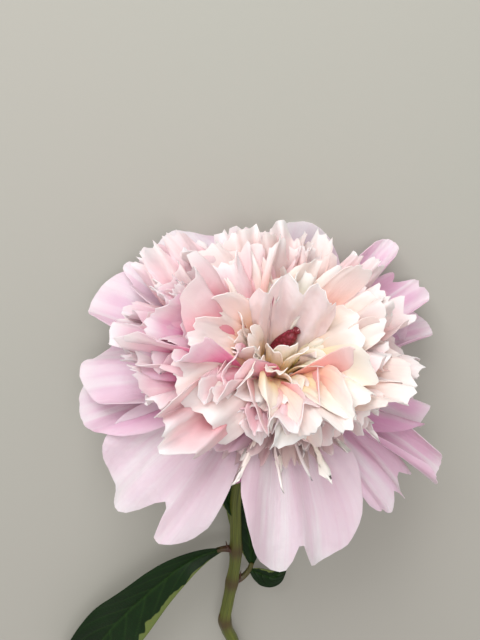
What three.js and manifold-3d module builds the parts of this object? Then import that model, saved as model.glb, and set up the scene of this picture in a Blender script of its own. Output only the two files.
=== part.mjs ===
// A cut peony as it was picked: one double bloom on a leafy stem, lying on a table.
// Millimetres, +Z up. The table is z = 0, the stem runs towards -Y, and the origin is the spot where the
// lowest guard petal is pressed flat against the table.
import * as THREE from "three";
import { ParametricGeometry } from "three/addons/geometries/ParametricGeometry.js";
import { mergeVertices } from "three/addons/utils/BufferGeometryUtils.js";
import Module from "manifold-3d";

// Driving dimensions
const GAP = 0.3; // clearance between neighbouring pieces
const GUARD_GAP = 0.36; // and between neighbouring guard petals, whose facets cross at an angle
const TRIM = 0.05; // slivers thinner than this are merged away
const PETAL = 0.7; // thickness of a petal
const LEAF = 0.8; // thickness of a leaf
const GUARD_GRID = { columns: 6, rows: 5 }; // facets across and along a guard petal
const INNER_GRID = { columns: 4, rows: 3 }; // facets across and along an inner petal

// The bloom's own frame starts at the top of its receptacle, and its +Z is the axis of the flower.
const BLOOM_AT = new THREE.Vector3(-19, -49, 45);
const BLOOM_RISE = 33.5; // degrees that the axis climbs above the table
const BLOOM_HEADING = 13.2; // degrees that the axis turns from +Y towards +X
const BLOOM_TURN = -5; // degrees that the petals' azimuths are turned about the axis

const RECEPTACLE = [[0, 0], [6.6, 0], [7.2, -2.2], [6.2, -6], [3.4, -11], [2.6, -15], [0, -15]];
const CORE = [
  [0, 9], [5.2, 9], [9, 17], [13, 25], [20, 29.5], [26, 22], [27, 12], [19, 4.5], [6.2, 0.4], [0, 0.4],
];

// Every petal follows one formula. Lengths in mm, angles in degrees:
// azimuth and lean place it round the axis and away from it, at its base and its tip; claw is the width at
// the base as a share of the widest; round lowers the corners of its tip; a cleft is one notch and teeth
// are small ones, as shares of the length; cup is the half angle of its cross-section, in radians;
// folds are ridges along it and ruffles are waves of its rim; twist and side turn and bend it sideways.
const PETAL_FORM = {
  azimuth: 0, leanBase: 80, leanTip: 80, length: 50, width: 20, claw: 0.25, round: 0.5,
  cleft: 0, cleftAt: 0, cleftWidth: 0.15, teeth: 0, toothCount: 5, cupBase: 0.6, cupTip: 0.3,
  fold: 0, foldCount: 3, foldPhase: 0, ruffle: 0, ruffleCount: 5, phase: 0, curl: 0,
  twist: 0, side: 0, baseRadius: 5, baseHeight: 0,
};

// The guard petals, from the topmost layer down. The last three lie under the bloom, on the table.
const GUARD_PETALS = [
  { azimuth: -17, leanBase: 95, leanTip: 128, length: 74, width: 33, claw: 0.16, round: 0.2, baseHeight: -1.5,
    teeth: 0.14, toothCount: 5, phase: 0.8, cupBase: 0.7, cupTip: -0.3, fold: 1.6, foldCount: 2.6,
    foldPhase: 0.8 },
  { azimuth: -7, leanBase: 92, leanTip: 118, length: 79, width: 26, claw: 0.2, round: 0.15, baseHeight: -1.5,
    cupBase: 0.7, cupTip: 2.2 },
  { azimuth: -60, leanBase: 100, leanTip: 146, length: 75.5, width: 53, claw: 0.14, baseHeight: -2,
    cleft: 0.12, cleftWidth: 0.13, cupBase: 0.7, cupTip: 0.35, fold: 0.9, foldCount: 2.2, foldPhase: 0.4 },
  { azimuth: -126, leanBase: 100, leanTip: 144, length: 78, width: 57, claw: 0.14, round: 0.38,
    baseHeight: -2.5, cleft: 0.14, cleftAt: 0.38, cleftWidth: 0.16, cupTip: 0.2, fold: 1, foldCount: 2.4,
    foldPhase: 1 },
  { azimuth: 14, leanBase: 86, leanTip: 112, length: 69, width: 44, claw: 0.14, round: 0.55, baseHeight: -2,
    cupBase: 0.7, cupTip: 0.5 },
  { azimuth: -173, leanBase: 88, leanTip: 122, length: 76, width: 46, claw: 0.14, round: 0.45, baseHeight: -2,
    fold: 0.7, foldCount: 1.7 },
  { azimuth: 167, leanBase: 80, leanTip: 102, length: 82, width: 47, claw: 0.14, baseHeight: -2,
    cupBase: 0.7, cupTip: 0.5, fold: 1.6, foldCount: 1.2, foldPhase: 2.6 },
  { azimuth: 64, leanBase: 70, leanTip: 60, length: 80, width: 22, claw: 0.2, round: 0.3, baseHeight: -2,
    cupBase: 0.7, cupTip: 2, side: -3 },
  { azimuth: 47, leanBase: 74, leanTip: 74, length: 80, width: 30, claw: 0.2, round: 0.3, baseHeight: -2.5,
    teeth: 0.08, cupTip: 1.3, fold: 1.5, foldCount: 2.3 },
  { azimuth: 38, leanBase: 80, leanTip: 86, length: 76, width: 24, claw: 0.2, round: 0.25, baseHeight: -2.5,
    cupTip: 1.5 },
  { azimuth: 154, leanBase: 76, leanTip: 92, length: 78, width: 30, claw: 0.16, round: 0.3, baseHeight: -2.2,
    teeth: 0.1, toothCount: 4, phase: 0.5, cupBase: 0.7, cupTip: 0.4, fold: 0.8, foldCount: 2 },
  { azimuth: 138, leanBase: 72, leanTip: 86, length: 77, width: 50, claw: 0.14, baseHeight: -2.5,
    cupBase: 0.7, cupTip: 0.4, fold: 0.8, foldCount: 2 },
  { azimuth: -166, leanBase: 95, leanTip: 130, length: 80, width: 44, claw: 0.14, round: 0.4, baseHeight: -3,
    cupTip: -0.2, foldCount: 1.5, fold: 1, foldPhase: 2 },
  { azimuth: -103, leanBase: 120, leanTip: 170, length: 44, width: 28, claw: 0.2, baseHeight: -3,
    cupBase: 0.5, cupTip: -0.3 },
  { azimuth: 52, leanBase: 95, leanTip: 60, length: 72, width: 48, claw: 0.14, baseHeight: -3.5,
    cupTip: 0.2 },
  { azimuth: 128, leanBase: 95, leanTip: 60, length: 70, width: 48, claw: 0.14, baseHeight: -3.5,
    cupTip: 0.2 },
  { azimuth: 92, leanBase: 100, leanTip: 36, length: 78.5, width: 50, claw: 0.14, baseHeight: -3.5,
    cupTip: 0.2 },
];

// The inner petals stand in rings, from the drooping outer ring to the upright ones round the carpels.
// A ring leans less by up to rise degrees on the upper side of the bloom. On the side of the stem its tips
// droop by up to droop degrees more, and its petals are shorter by up to the share less.
const RING_FORM = { rise: 0, droop: 0, less: 0, baseRadius: 5, baseHeight: 3 };
const INNER_RINGS = [
  { count: 8, turn: 10, leanBase: 88, leanTip: 116, rise: 40, length: 38, width: 16, baseRadius: 6,
    baseHeight: 0 },
  { count: 9, turn: 3, leanBase: 72, leanTip: 91, rise: 24, less: 0.16, length: 47, width: 22, baseRadius: 6,
    baseHeight: 1 },
  { count: 9, turn: 17, leanBase: 57, leanTip: 74, rise: 10, droop: 6, less: 0.24, length: 59, width: 26,
    baseHeight: 1.5 },
  { count: 9, turn: 5, leanBase: 46, leanTip: 62, rise: 4, droop: 18, less: 0.2, length: 62, width: 26,
    baseRadius: 4, baseHeight: 2 },
  { count: 8, turn: 12, leanBase: 35, leanTip: 52, droop: 36, less: 0.12, length: 58, width: 25,
    baseRadius: 4, baseHeight: 2.5 },
  { count: 6, turn: 8, leanBase: 28, leanTip: 44, droop: 50, length: 47, width: 23 },
  { count: 5, turn: 20, leanBase: 20, leanTip: 36, droop: 56, length: 36, width: 17 },
];

// Single inner petals with a look of their own: the hood behind the carpels, a broad smooth one on each
// side, the pale lip below and three short ones in front of the carpels.
const INNER_SINGLES = [
  { azimuth: 95, leanBase: 6, leanTip: 20, length: 44, width: 34, claw: 0.35, round: 0.25, baseRadius: 7,
    baseHeight: 3, cleft: 0.12, cleftAt: -0.05, cleftWidth: 0.1, cupBase: 0.8, cupTip: 0.5 },
  { azimuth: -13, leanBase: 48, leanTip: 70, length: 57, width: 34, claw: 0.3, round: 0.4, baseHeight: 2,
    cupTip: 0.5 },
  { azimuth: 203, leanBase: 60, leanTip: 80, length: 60, width: 40, claw: 0.3, round: 0.4, baseHeight: 2,
    cupBase: 0.9, cupTip: 1.1 },
  { azimuth: -67, leanBase: 46, leanTip: 60, length: 42, width: 26, claw: 0.3, round: 0.3, baseHeight: 2,
    teeth: 0.05, toothCount: 6, cupBase: 0.9, cupTip: -0.4, ruffle: 1.5, curl: -3 },
  { azimuth: -118, leanBase: -6, leanTip: 14, length: 25, width: 10, claw: 0.3, baseRadius: 6,
    baseHeight: 3 },
  { azimuth: -78, leanBase: -8, leanTip: 8, length: 28, width: 12, claw: 0.3, baseRadius: 6,
    baseHeight: 3 },
  { azimuth: -36, leanBase: -4, leanTip: 18, length: 27, width: 10, claw: 0.3, baseRadius: 6,
    baseHeight: 3 },
];

// The carpels: a profile in shares of a radius and a length, and where each one stands in the heart of the
// bloom. The first leans out between the petals, and the two short ones are hidden behind them.
const CARPEL = [[0, 0], [0.6, 0], [0.95, 0.3], [1, 0.55], [0.8, 0.75], [0.45, 0.9], [0.5, 0.97], [0, 1]];
const CARPELS = [
  { at: [-3.4, 4], azimuth: 25, tilt: 27, radius: 3.5, length: 18 },
  { at: [3.4, -0.6], azimuth: -20, tilt: 4, radius: 2.5, length: 8 },
  { at: [-1.6, -3.6], azimuth: 240, tilt: 4, radius: 2.5, length: 8 },
];
const CARPEL_BASE = 9.4; // height of their bases above the receptacle's top

const CALYX_RING = [[0, -4.8], [8, -4.8], [7.4, -8.4], [4.4, -11.4], [0, -11.4]];
const SEPALS = {
  count: 5, leanBase: 110, leanTip: 140, length: 24, width: 15, claw: 0.6, cupBase: 0.5, cupTip: 0.5,
  baseRadius: 5.6, baseHeight: -6.4,
};
const FIRST_SEPAL = 0.3; // of the angle between two sepals

// The stem's centre line from inside the receptacle to the cut end, and its radius at both ends.
const STEM_LINE = [
  [-21.1, -58, 38.9], [-24.9, -74, 29.3], [-30, -95, 23.6], [-33.6, -116, 20.8], [-33.8, -134, 18.6],
  [-33.9, -150, 16.6], [-35.1, -161, 15.2], [-38.1, -179, 13], [-39.4, -188, 11.9], [-38.2, -195, 11],
  [-35.4, -202, 10.2], [-33, -219, 8.5], [-35, -249, 5.7], [-40, -281, 3.2],
];
const STEM_RADIUS = { top: 2.5, cut: 3.2 };
const STEM_RIDGE = 0.07; // height of the five ridges as a share of the radius
const STEM_GRID = { sides: 10, segments: 26 };
const BUD_SCAR = { at: [-41.6, -189, 12], radius: 1.5 };

// The leaves. A line is the midrib from its stalk to its tip; halfWidth is the widest half of the blade;
// wave and fold shape its rim and its two halves. BLADE_FOOT is half a blade's width at both its ends.
const BLADE_FOOT = 0.9;
const LEFT_STALK = [[-36, -145.4, 17.1], [-38.5, -144.8, 17.6], [-43, -144.8, 19]];
const LEFT_BLADE = {
  line: [[-40.5, -144.9, 18.4], [-48.6, -146, 21], [-59, -150.6, 23.5], [-76, -166.5, 21.5],
    [-98, -194, 14.5], [-112, -220, 7.5], [-122, -247, 0.4]],
  halfWidth: 14.5, widest: 0.62, fold: 0.32, wave: 1.6, waveCount: 3.2, grid: { columns: 6, rows: 12 },
};
const RIGHT_STALK = [[-34, -164.6, 14.4], [-30.5, -162.8, 13.6], [-27.4, -159, 13.2], [-26, -155, 13.5]];
const RIGHT_BLADES = [
  { line: [[-26.2, -156, 13.4], [-26.8, -147, 13.6], [-28.2, -135, 12.8], [-31, -115, 10], [-35, -93, 5],
    [-37, -75, 1.2]],
    halfWidth: 8.5, widest: 0.4, fold: 0.25, wave: 0.8, waveCount: 2, grid: { columns: 4, rows: 8 } },
  { line: [[-27, -159, 13.2], [-22, -161.4, 13], [-16, -164.2, 11.5], [-9.5, -161, 9.6]],
    halfWidth: 4.5, widest: 0.5, fold: 0.35, wave: 0.4, waveCount: 1, grid: { columns: 4, rows: 6 } },
];
const BRACT_BLADE = {
  line: [[-35.4, -125.4, 21], [-37.4, -117, 19.5], [-40, -106, 16.5], [-43, -91, 12], [-45, -77, 8]],
  halfWidth: 6.5, widest: 0.55, fold: 0.3, wave: 0.5, waveCount: 1.5, grid: { columns: 4, rows: 7 },
};

const COLOURS = {
  stem: 0x4a5210, sepal: 0x3c4a18, leaf: 0x22391a, guard: 0xe6cfdc, underGuard: 0xd9bccb, inner: 0xf8e3dc,
  carpel: 0x902433,
};

const library = await Module();
library.setup();

// A closed geometry as a solid that can be joined and cut.
function solidOf(geometry) {
  const bare = new THREE.BufferGeometry().setAttribute("position", geometry.getAttribute("position"));
  bare.setIndex(geometry.index);
  const merged = mergeVertices(bare, 1e-4);
  return new library.Manifold(new library.Mesh({
    numProp: 3,
    vertProperties: merged.getAttribute("position").array,
    triVerts: new Uint32Array(merged.index.array),
  }));
}

// The largest single body of a solid, as a geometry.
function geometryOf(solid) {
  const bodies = solid.simplify(TRIM).decompose().sort((a, b) => b.volume() - a.volume());
  const mesh = bodies[0].getMesh();
  const geometry = new THREE.BufferGeometry();
  geometry.setAttribute("position", new THREE.BufferAttribute(mesh.vertProperties, mesh.numProp));
  geometry.setIndex(new THREE.BufferAttribute(mesh.triVerts, 1));
  geometry.computeVertexNormals();
  return geometry;
}

// A seeded draw between 0 and 1.
function chance(item, draw) {
  const value = Math.sin(item * 12.9898 + draw * 78.233) * 43758.5453;
  return value - Math.floor(value);
}

// A closed sheet of even thickness about the surface (u, v) -> point, split alike on both faces. table
// gives the up direction and the height of the frame's origin, and the sheet is pressed flat against it.
// grown makes the room that the sheet takes: it is wider at its rim and thicker by that much on each side.
function blade(surface, grid, thickness, table, grown = 0) {
  const sheet = new ParametricGeometry(surface, grid.columns, grid.rows);
  const position = sheet.getAttribute("position");
  const normal = sheet.getAttribute("normal");
  const across = grid.columns + 1;
  const count = position.count;
  const middle = [];
  for (let i = 0; i < count; i += 1) middle.push(new THREE.Vector3().fromBufferAttribute(position, i));
  const spread = (i, inside) => {
    const outwards = middle[i].clone().sub(middle[inside]).setLength(grown);
    middle[i].add(outwards);
  };
  for (let j = 0; j <= grid.rows; j += 1) {
    spread(j * across, j * across + 1);
    spread(j * across + grid.columns, j * across + grid.columns - 1);
  }
  for (let i = 0; i < across; i += 1) {
    spread(i, i + across);
    spread(grid.rows * across + i, (grid.rows - 1) * across + i);
  }
  const points = [];
  const height = (point) => table.height + table.up.dot(point);
  const press = (point, least) => point.addScaledVector(table.up, Math.max(0, least - height(point)));
  for (const side of [1, -1]) {
    for (let i = 0; i < count; i += 1) {
      const offset = new THREE.Vector3().fromBufferAttribute(normal, i);
      offset.multiplyScalar(side * (thickness / 2 + grown));
      const isUpper = table.up.dot(offset) > 0;
      points.push(press(middle[i].clone().add(offset), isUpper ? thickness + grown : -grown));
    }
  }
  const faces = [];
  for (let i = 0; i < sheet.index.count; i += 3) {
    const [a, b, c] = [0, 1, 2].map((k) => sheet.index.getX(i + k));
    faces.push(a, b, c, count + a, count + c, count + b);
  }
  const rim = [];
  for (let i = 0; i < grid.columns; i += 1) rim.push(i);
  for (let i = 0; i < grid.rows; i += 1) rim.push(i * across + grid.columns);
  for (let i = grid.columns; i > 0; i -= 1) rim.push(grid.rows * across + i);
  for (let i = grid.rows; i > 0; i -= 1) rim.push(i * across);
  rim.forEach((from, i) => {
    const to = rim[(i + 1) % rim.length];
    faces.push(to, from, count + from, to, count + from, count + to);
  });
  return solidOf(new THREE.BufferGeometry().setFromPoints(points).setIndex(faces));
}

// A point of a petal in the bloom's frame: u runs from -1 to 1 across it and s from 0 to 1 along it.
function petalPoint(form, u, s, target) {
  const rad = THREE.MathUtils.degToRad;
  const corner = 1 - Math.sqrt(Math.max(0, 1 - u * u));
  const cleft = form.cleft * Math.exp(-(((u - form.cleftAt) / form.cleftWidth) ** 2));
  const tooth = (1 - Math.abs(Math.sin(form.toothCount * u + form.phase)))
    * (0.6 + 0.4 * Math.sin(2.3 * u + 1.7 * form.phase));
  const q = s * (1 - form.round * corner - cleft - form.teeth * tooth);
  const start = rad(form.leanBase);
  const bend = rad(form.leanTip - form.leanBase) || 1e-3;
  const lean = start + bend * q;
  const radius = form.baseRadius + form.length * (Math.cos(start) - Math.cos(lean)) / bend;
  const height = form.baseHeight + form.length * (Math.sin(lean) - Math.sin(start)) / bend;
  const half = form.width / 2 * (form.claw + (1 - form.claw) * Math.sin(s * Math.PI / 2) ** 1.3);
  const cup = form.cupBase + (form.cupTip - form.cupBase) * s || 1e-3;
  const lateral = half * Math.sin(cup * u) / cup;
  const lift = half * (1 - Math.cos(cup * u)) / cup
    + form.fold * s * Math.cos(form.foldCount * Math.PI * u + form.foldPhase) * half / 10
    + form.ruffle * s ** 3 * (0.35 + 0.65 * Math.abs(u))
      * Math.sin(form.ruffleCount * Math.PI / 2 * u + form.phase)
    + form.curl * s ** 4;
  const turn = rad(form.twist) * q;
  const sideways = lateral * Math.cos(turn) - lift * Math.sin(turn) + form.side * q * q;
  const inwards = lateral * Math.sin(turn) + lift * Math.cos(turn);
  const azimuth = rad(form.azimuth);
  const out = radius - inwards * Math.cos(lean);
  return target.set(
    out * Math.cos(azimuth) - sideways * Math.sin(azimuth),
    out * Math.sin(azimuth) + sideways * Math.cos(azimuth),
    height + inwards * Math.sin(lean),
  );
}

// A petal as a solid in the bloom's frame. grown is the room that it takes beyond its own size.
function petal(form, grid, table, grown = 0) {
  const full = { ...PETAL_FORM, ...form };
  const surface = (u, v, target) => {
    const across = 2 * u - 1;
    return petalPoint(full, (across + Math.sin(across * Math.PI / 2)) / 2, v, target);
  };
  return blade(surface, grid, PETAL, table, grown);
}

// One ring of inner petals, each a little different from its neighbours.
function ringPetals(sizes, number) {
  const ring = { ...RING_FORM, ...sizes };
  const petals = [];
  for (let i = 0; i < ring.count; i += 1) {
    const draw = (k) => chance(number * 31 + i, k) - 0.5;
    const azimuth = ring.turn + 360 / ring.count * (i + 0.5 * draw(0));
    const above = Math.sin(THREE.MathUtils.degToRad(azimuth));
    const below = Math.max(0, -above);
    const lifted = ring.rise * (0.5 + 0.5 * above);
    petals.push({
      azimuth,
      leanBase: ring.leanBase + 6 * draw(1) - lifted,
      leanTip: ring.leanTip + 12 * draw(2) - lifted + ring.droop * below,
      length: ring.length * (1 + 0.14 * draw(3)) * (1 - ring.less * below),
      width: ring.width * (1 + 0.4 * draw(4)),
      claw: 0.3,
      round: 0.35 + 0.3 * draw(5),
      cleft: 0.06 + 0.14 * (draw(6) + 0.5),
      cleftAt: 0.9 * draw(7),
      cleftWidth: 0.22,
      cupBase: 0.9,
      cupTip: 0.5 + 1.2 * draw(8),
      ruffle: 1 + 1.4 * (draw(9) + 0.5),
      ruffleCount: 2 + 2 * (draw(10) + 0.5),
      phase: 6.3 * draw(11),
      twist: 40 * draw(12),
      side: 8 * draw(13),
      baseRadius: ring.baseRadius,
      baseHeight: ring.baseHeight,
    });
  }
  return petals;
}

// A body of revolution from a list of [radius, height] that starts and ends on the axis, from either end.
function turned(profile, sides, grown = 0) {
  const grow = ([radius, height], i) => {
    const up = i === 0 || i === profile.length - 1 ? 0 : grown;
    return new THREE.Vector2(radius ? radius + up : 0, height);
  };
  const outline = profile.map(grow);
  if (outline[0].y > outline[outline.length - 1].y) outline.reverse();
  return new THREE.LatheGeometry(outline, sides).rotateX(Math.PI / 2);
}

// A smooth curve through points.
function smoothCurve(points) {
  return new THREE.CatmullRomCurve3(points.map((p) => new THREE.Vector3(...p)), false, "centripetal");
}

// A round bar along a curve: radius(t) is its radius at t, from 0 to 1, ridged by ridges waves.
function bar(points, radius, grid, ridges = 0, ridge = 0) {
  const curve = smoothCurve(points);
  const frames = curve.computeFrenetFrames(grid.segments, false);
  const rod = new THREE.CylinderGeometry(1, 1, 1, grid.sides, grid.segments);
  const position = rod.getAttribute("position");
  const local = new THREE.Vector3();
  for (let i = 0; i < position.count; i += 1) {
    local.fromBufferAttribute(position, i);
    const t = 0.5 - local.y;
    const k = Math.round(t * grid.segments);
    const wave = 1 + ridge * Math.cos(ridges * Math.atan2(local.z, local.x));
    const point = curve.getPointAt(t)
      .addScaledVector(frames.normals[k], local.x * radius(t) * wave)
      .addScaledVector(frames.binormals[k], local.z * radius(t) * wave);
    position.setXYZ(i, point.x, point.y, point.z);
  }
  return solidOf(rod);
}

const TABLE = { up: new THREE.Vector3(0, 0, 1), height: 0 };

// A leaf blade along its midrib, folded up along the midrib and waved at its rim.
function leafBlade(leaf) {
  const line = smoothCurve(leaf.line);
  const up = new THREE.Vector3(0, 0, 1);
  const surface = (u, v, target) => {
    const across = 2 * u - 1;
    const along = line.getTangentAt(v);
    const side = new THREE.Vector3().crossVectors(along, up).normalize();
    const over = new THREE.Vector3().crossVectors(side, along);
    const share = v < leaf.widest ? v / leaf.widest : (1 - v) / (1 - leaf.widest);
    const half = BLADE_FOOT + leaf.halfWidth * Math.sin(share * Math.PI / 2) ** 0.9;
    const rim = leaf.wave * Math.sin(leaf.waveCount * 2 * Math.PI * v + across) * across * across;
    return target.copy(line.getPointAt(v))
      .addScaledVector(side, across * half * Math.cos(leaf.fold))
      .addScaledVector(over, Math.abs(across) * half * Math.sin(leaf.fold) + rim * half / leaf.halfWidth);
  };
  return blade(surface, leaf.grid, LEAF, TABLE);
}

const bloom = new THREE.Group();
bloom.position.copy(BLOOM_AT);
bloom.rotation.set(
  THREE.MathUtils.degToRad(BLOOM_RISE - 90), 0, THREE.MathUtils.degToRad(-BLOOM_HEADING), "ZXY",
);
bloom.rotateZ(THREE.MathUtils.degToRad(BLOOM_TURN));
bloom.updateMatrixWorld(true);
const BLOOM_TABLE = {
  up: new THREE.Vector3(0, 0, 1).applyQuaternion(bloom.quaternion.clone().invert()),
  height: BLOOM_AT.z,
};

function placed(solid, name, colour, roughness, group) {
  const material = new THREE.MeshStandardMaterial({ color: colour, roughness, metalness: 0 });
  const mesh = new THREE.Mesh(geometryOf(solid), material);
  mesh.name = name;
  group.add(mesh);
}

const peony = new THREE.Group();
peony.add(bloom);

// A carpel: a seed vessel that leans towards an azimuth, with its base in the heart of the bloom.
function carpel(place, grown = 0) {
  const profile = CARPEL.map(([radius, height]) => [radius * place.radius, height * place.length]);
  const shape = turned(profile, 10, grown);
  shape.rotateY(THREE.MathUtils.degToRad(place.tilt));
  shape.rotateZ(THREE.MathUtils.degToRad(place.azimuth));
  shape.translate(...place.at, CARPEL_BASE);
  return solidOf(shape);
}
CARPELS.forEach((place, i) => placed(carpel(place), `carpel_${i + 1}`, COLOURS.carpel, 0.5, bloom));

// The guard petals: each one gives way to those above it and to the receptacle.
const receptacleRoom = solidOf(turned(RECEPTACLE, 16, GAP));
const guardRooms = [];
GUARD_PETALS.forEach((form, i) => {
  const whole = petal(form, GUARD_GRID, BLOOM_TABLE);
  let made = whole.subtract(receptacleRoom);
  for (const room of guardRooms) made = made.subtract(room);
  guardRooms.push(petal(form, GUARD_GRID, BLOOM_TABLE, GUARD_GAP).add(whole));
  const colour = i < GUARD_PETALS.length - 3 ? COLOURS.guard : COLOURS.underGuard;
  placed(made, `guard_petal_${String(i + 1).padStart(2, "0")}`, colour, 0.6, bloom);
});

// The inner petals, fused to a small core, clear of the guard petals, the receptacle and the carpels.
let inner = solidOf(turned(CORE, 14));
const innerForms = [...INNER_RINGS.flatMap(ringPetals), ...INNER_SINGLES];
for (const form of innerForms) inner = inner.add(petal(form, INNER_GRID, BLOOM_TABLE));
for (const room of guardRooms) inner = inner.subtract(room);
for (const place of CARPELS) inner = inner.subtract(carpel(place, GAP));
placed(inner.subtract(receptacleRoom), "inner_petals", COLOURS.inner, 0.6, bloom);

// The stem with its receptacle and the scar of a side bud.
const stemRadius = (t) => STEM_RADIUS.top + (STEM_RADIUS.cut - STEM_RADIUS.top) * t;
const stemBar = (grown) => bar(STEM_LINE, (t) => stemRadius(t) + grown, STEM_GRID, 5, STEM_RIDGE);
const receptacle = solidOf(turned(RECEPTACLE, 16).applyMatrix4(bloom.matrixWorld));
const scar = solidOf(new THREE.IcosahedronGeometry(BUD_SCAR.radius, 1).translate(...BUD_SCAR.at));
const stem = stemBar(0).add(receptacle).add(scar);
const stemRoom = stemBar(GAP);
placed(stem, "stem", COLOURS.stem, 0.5, peony);

// The calyx: five sepals joined in a ring round the receptacle, bent back under the guard petals.
let calyx = solidOf(turned(CALYX_RING, 16));
for (let i = 0; i < SEPALS.count; i += 1) {
  const azimuth = 360 / SEPALS.count * (i + FIRST_SEPAL);
  calyx = calyx.add(petal({ ...SEPALS, azimuth }, INNER_GRID, BLOOM_TABLE));
}
const worldToBloom = bloom.matrixWorld.clone().invert().elements;
calyx = calyx.subtract(receptacleRoom).subtract(stemRoom.transform(worldToBloom));
for (const room of guardRooms) calyx = calyx.subtract(room);
placed(calyx, "calyx", COLOURS.sepal, 0.5, bloom);

// The leaves: a blade or leaflets fused to their stalk, which ends just short of the stem.
const stalk = (line) => bar(line, (t) => 1.7 - 0.5 * t, { sides: 6, segments: 5 });
const leftStalk = stalk(LEFT_STALK);
placed(leftStalk.add(leafBlade(LEFT_BLADE)).subtract(stemRoom), "leaf_left", COLOURS.leaf, 0.45, peony);
let right = stalk(RIGHT_STALK);
for (const leaflet of RIGHT_BLADES) right = right.add(leafBlade(leaflet));
placed(right.subtract(stemRoom), "leaf_right", COLOURS.leaf, 0.45, peony);
placed(leafBlade(BRACT_BLADE).subtract(stemRoom), "leaf_bract", COLOURS.leaf, 0.45, peony);

export default peony;
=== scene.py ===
import math

import bpy
from mathutils import Matrix, Vector


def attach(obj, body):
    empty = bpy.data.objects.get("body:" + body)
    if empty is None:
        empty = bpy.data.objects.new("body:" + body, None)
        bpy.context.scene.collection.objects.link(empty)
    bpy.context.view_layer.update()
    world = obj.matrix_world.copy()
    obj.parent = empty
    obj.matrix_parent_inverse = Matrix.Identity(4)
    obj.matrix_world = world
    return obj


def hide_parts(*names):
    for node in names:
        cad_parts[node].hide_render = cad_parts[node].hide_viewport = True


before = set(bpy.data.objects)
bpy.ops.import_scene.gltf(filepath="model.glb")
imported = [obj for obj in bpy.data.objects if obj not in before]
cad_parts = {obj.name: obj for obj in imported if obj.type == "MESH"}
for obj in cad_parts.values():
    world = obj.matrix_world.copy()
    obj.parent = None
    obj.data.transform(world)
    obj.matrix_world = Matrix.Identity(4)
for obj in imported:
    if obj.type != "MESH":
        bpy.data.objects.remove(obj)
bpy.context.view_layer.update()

MM = 0.001

# The stage: a cut peony lies on a plain pale table. The camera looks down on it, tipped 15 degrees
# towards the bloom's face, as the photograph does, and a broad soft window light comes from beyond the
# bloom, which is the top of the picture.
CAMERA_AT = Vector((-31.9, 59.7, 357.5)) * MM
CAMERA_TIP = -15  # degrees
CAMERA_LENS = 44.7
CAMERA_SENSOR = 36
TABLE_SIZE = 6
LAMPS_AIM = Vector((-20, -30, 50)) * MM
LAMPS_AWAY = 1.0
LAMPS = {
    "window": {"towards": Vector((-0.22, 0.8, 0.58)), "size": 0.7, "watts": 7.2},
    "fill": {"towards": Vector((0.05, 0.2, 1.0)), "size": 0.5, "watts": 3.1},
}
SKY = {"Color": (1.0, 0.975, 0.95, 1), "Strength": 0.5}


def colour(code):
    """An sRGB hex value as linear RGBA."""
    parts = [int(code[i:i + 2], 16) / 255 for i in (1, 3, 5)]
    linear = [c / 12.92 if c <= 0.04045 else ((c + 0.055) / 1.055) ** 2.4 for c in parts]
    return (*linear, 1)


def fill(tree, node, inputs):
    """Sets or links a node's inputs, which are values, sockets or nodes, in socket order or by name."""
    sockets = [socket for socket in node.inputs if socket.enabled]
    pairs = inputs.items() if isinstance(inputs, dict) else zip(sockets, inputs)
    for key, value in pairs:
        socket = next(s for s in sockets if s.name == key) if isinstance(key, str) else key
        if isinstance(value, bpy.types.Node):
            value = next(output for output in value.outputs if output.enabled)
        if isinstance(value, bpy.types.NodeSocket):
            tree.links.new(value, socket)
        else:
            socket.default_value = value


def add(tree, kind, inputs=(), **settings):
    """Adds a node with its settings and inputs."""
    node = tree.nodes.new(kind)
    for name, value in settings.items():
        setattr(node, name, value)
    fill(tree, node, inputs)
    return node


def new_material(name):
    """A new material, its node tree and the shader in it."""
    material = bpy.data.materials.new(name)
    material.use_nodes = True
    return material, material.node_tree, material.node_tree.nodes["Principled BSDF"]


camera = bpy.data.objects.new("camera", bpy.data.cameras.new("camera"))
camera.data.sensor_width = CAMERA_SENSOR
camera.data.lens = CAMERA_LENS
camera.location = CAMERA_AT
camera.rotation_euler = (math.radians(CAMERA_TIP), 0, 0)
bpy.context.collection.objects.link(camera)
bpy.context.scene.camera = camera
bpy.context.scene.view_settings.view_transform = "Standard"

# Matt emulsion paint: pale grey, a little greener or warmer in patches of half a metre.
table_paint, nodes, skin = new_material("matt emulsion paint")
place = add(nodes, "ShaderNodeTexCoord").outputs["Object"]
mottle = add(nodes, "ShaderNodeTexNoise", {"Vector": place, "Scale": 2.2, "Detail": 3.0})
tint = {"Factor": mottle, "A": colour("#aeb1a7"), "B": colour("#b8b2ab")}
tint = add(nodes, "ShaderNodeMix", tint, data_type="RGBA")
fill(nodes, skin, {"Base Color": tint, "Roughness": 0.85})

bpy.ops.mesh.primitive_plane_add(size=TABLE_SIZE)
table = bpy.context.object
table.name = "table"
table.data.materials.append(table_paint)

sky = bpy.data.worlds.new("sky")
sky.use_nodes = True
fill(sky.node_tree, sky.node_tree.nodes["Background"], SKY)
bpy.context.scene.world = sky

for name, lamp in LAMPS.items():
    panel = bpy.data.objects.new(name, bpy.data.lights.new(name, "AREA"))
    panel.data.energy = lamp["watts"]
    panel.data.size = lamp["size"]
    panel.location = LAMPS_AIM + lamp["towards"].normalized() * LAMPS_AWAY
    panel.rotation_euler = lamp["towards"].to_track_quat("Z", "Y").to_euler()
    bpy.context.collection.objects.link(panel)

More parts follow.
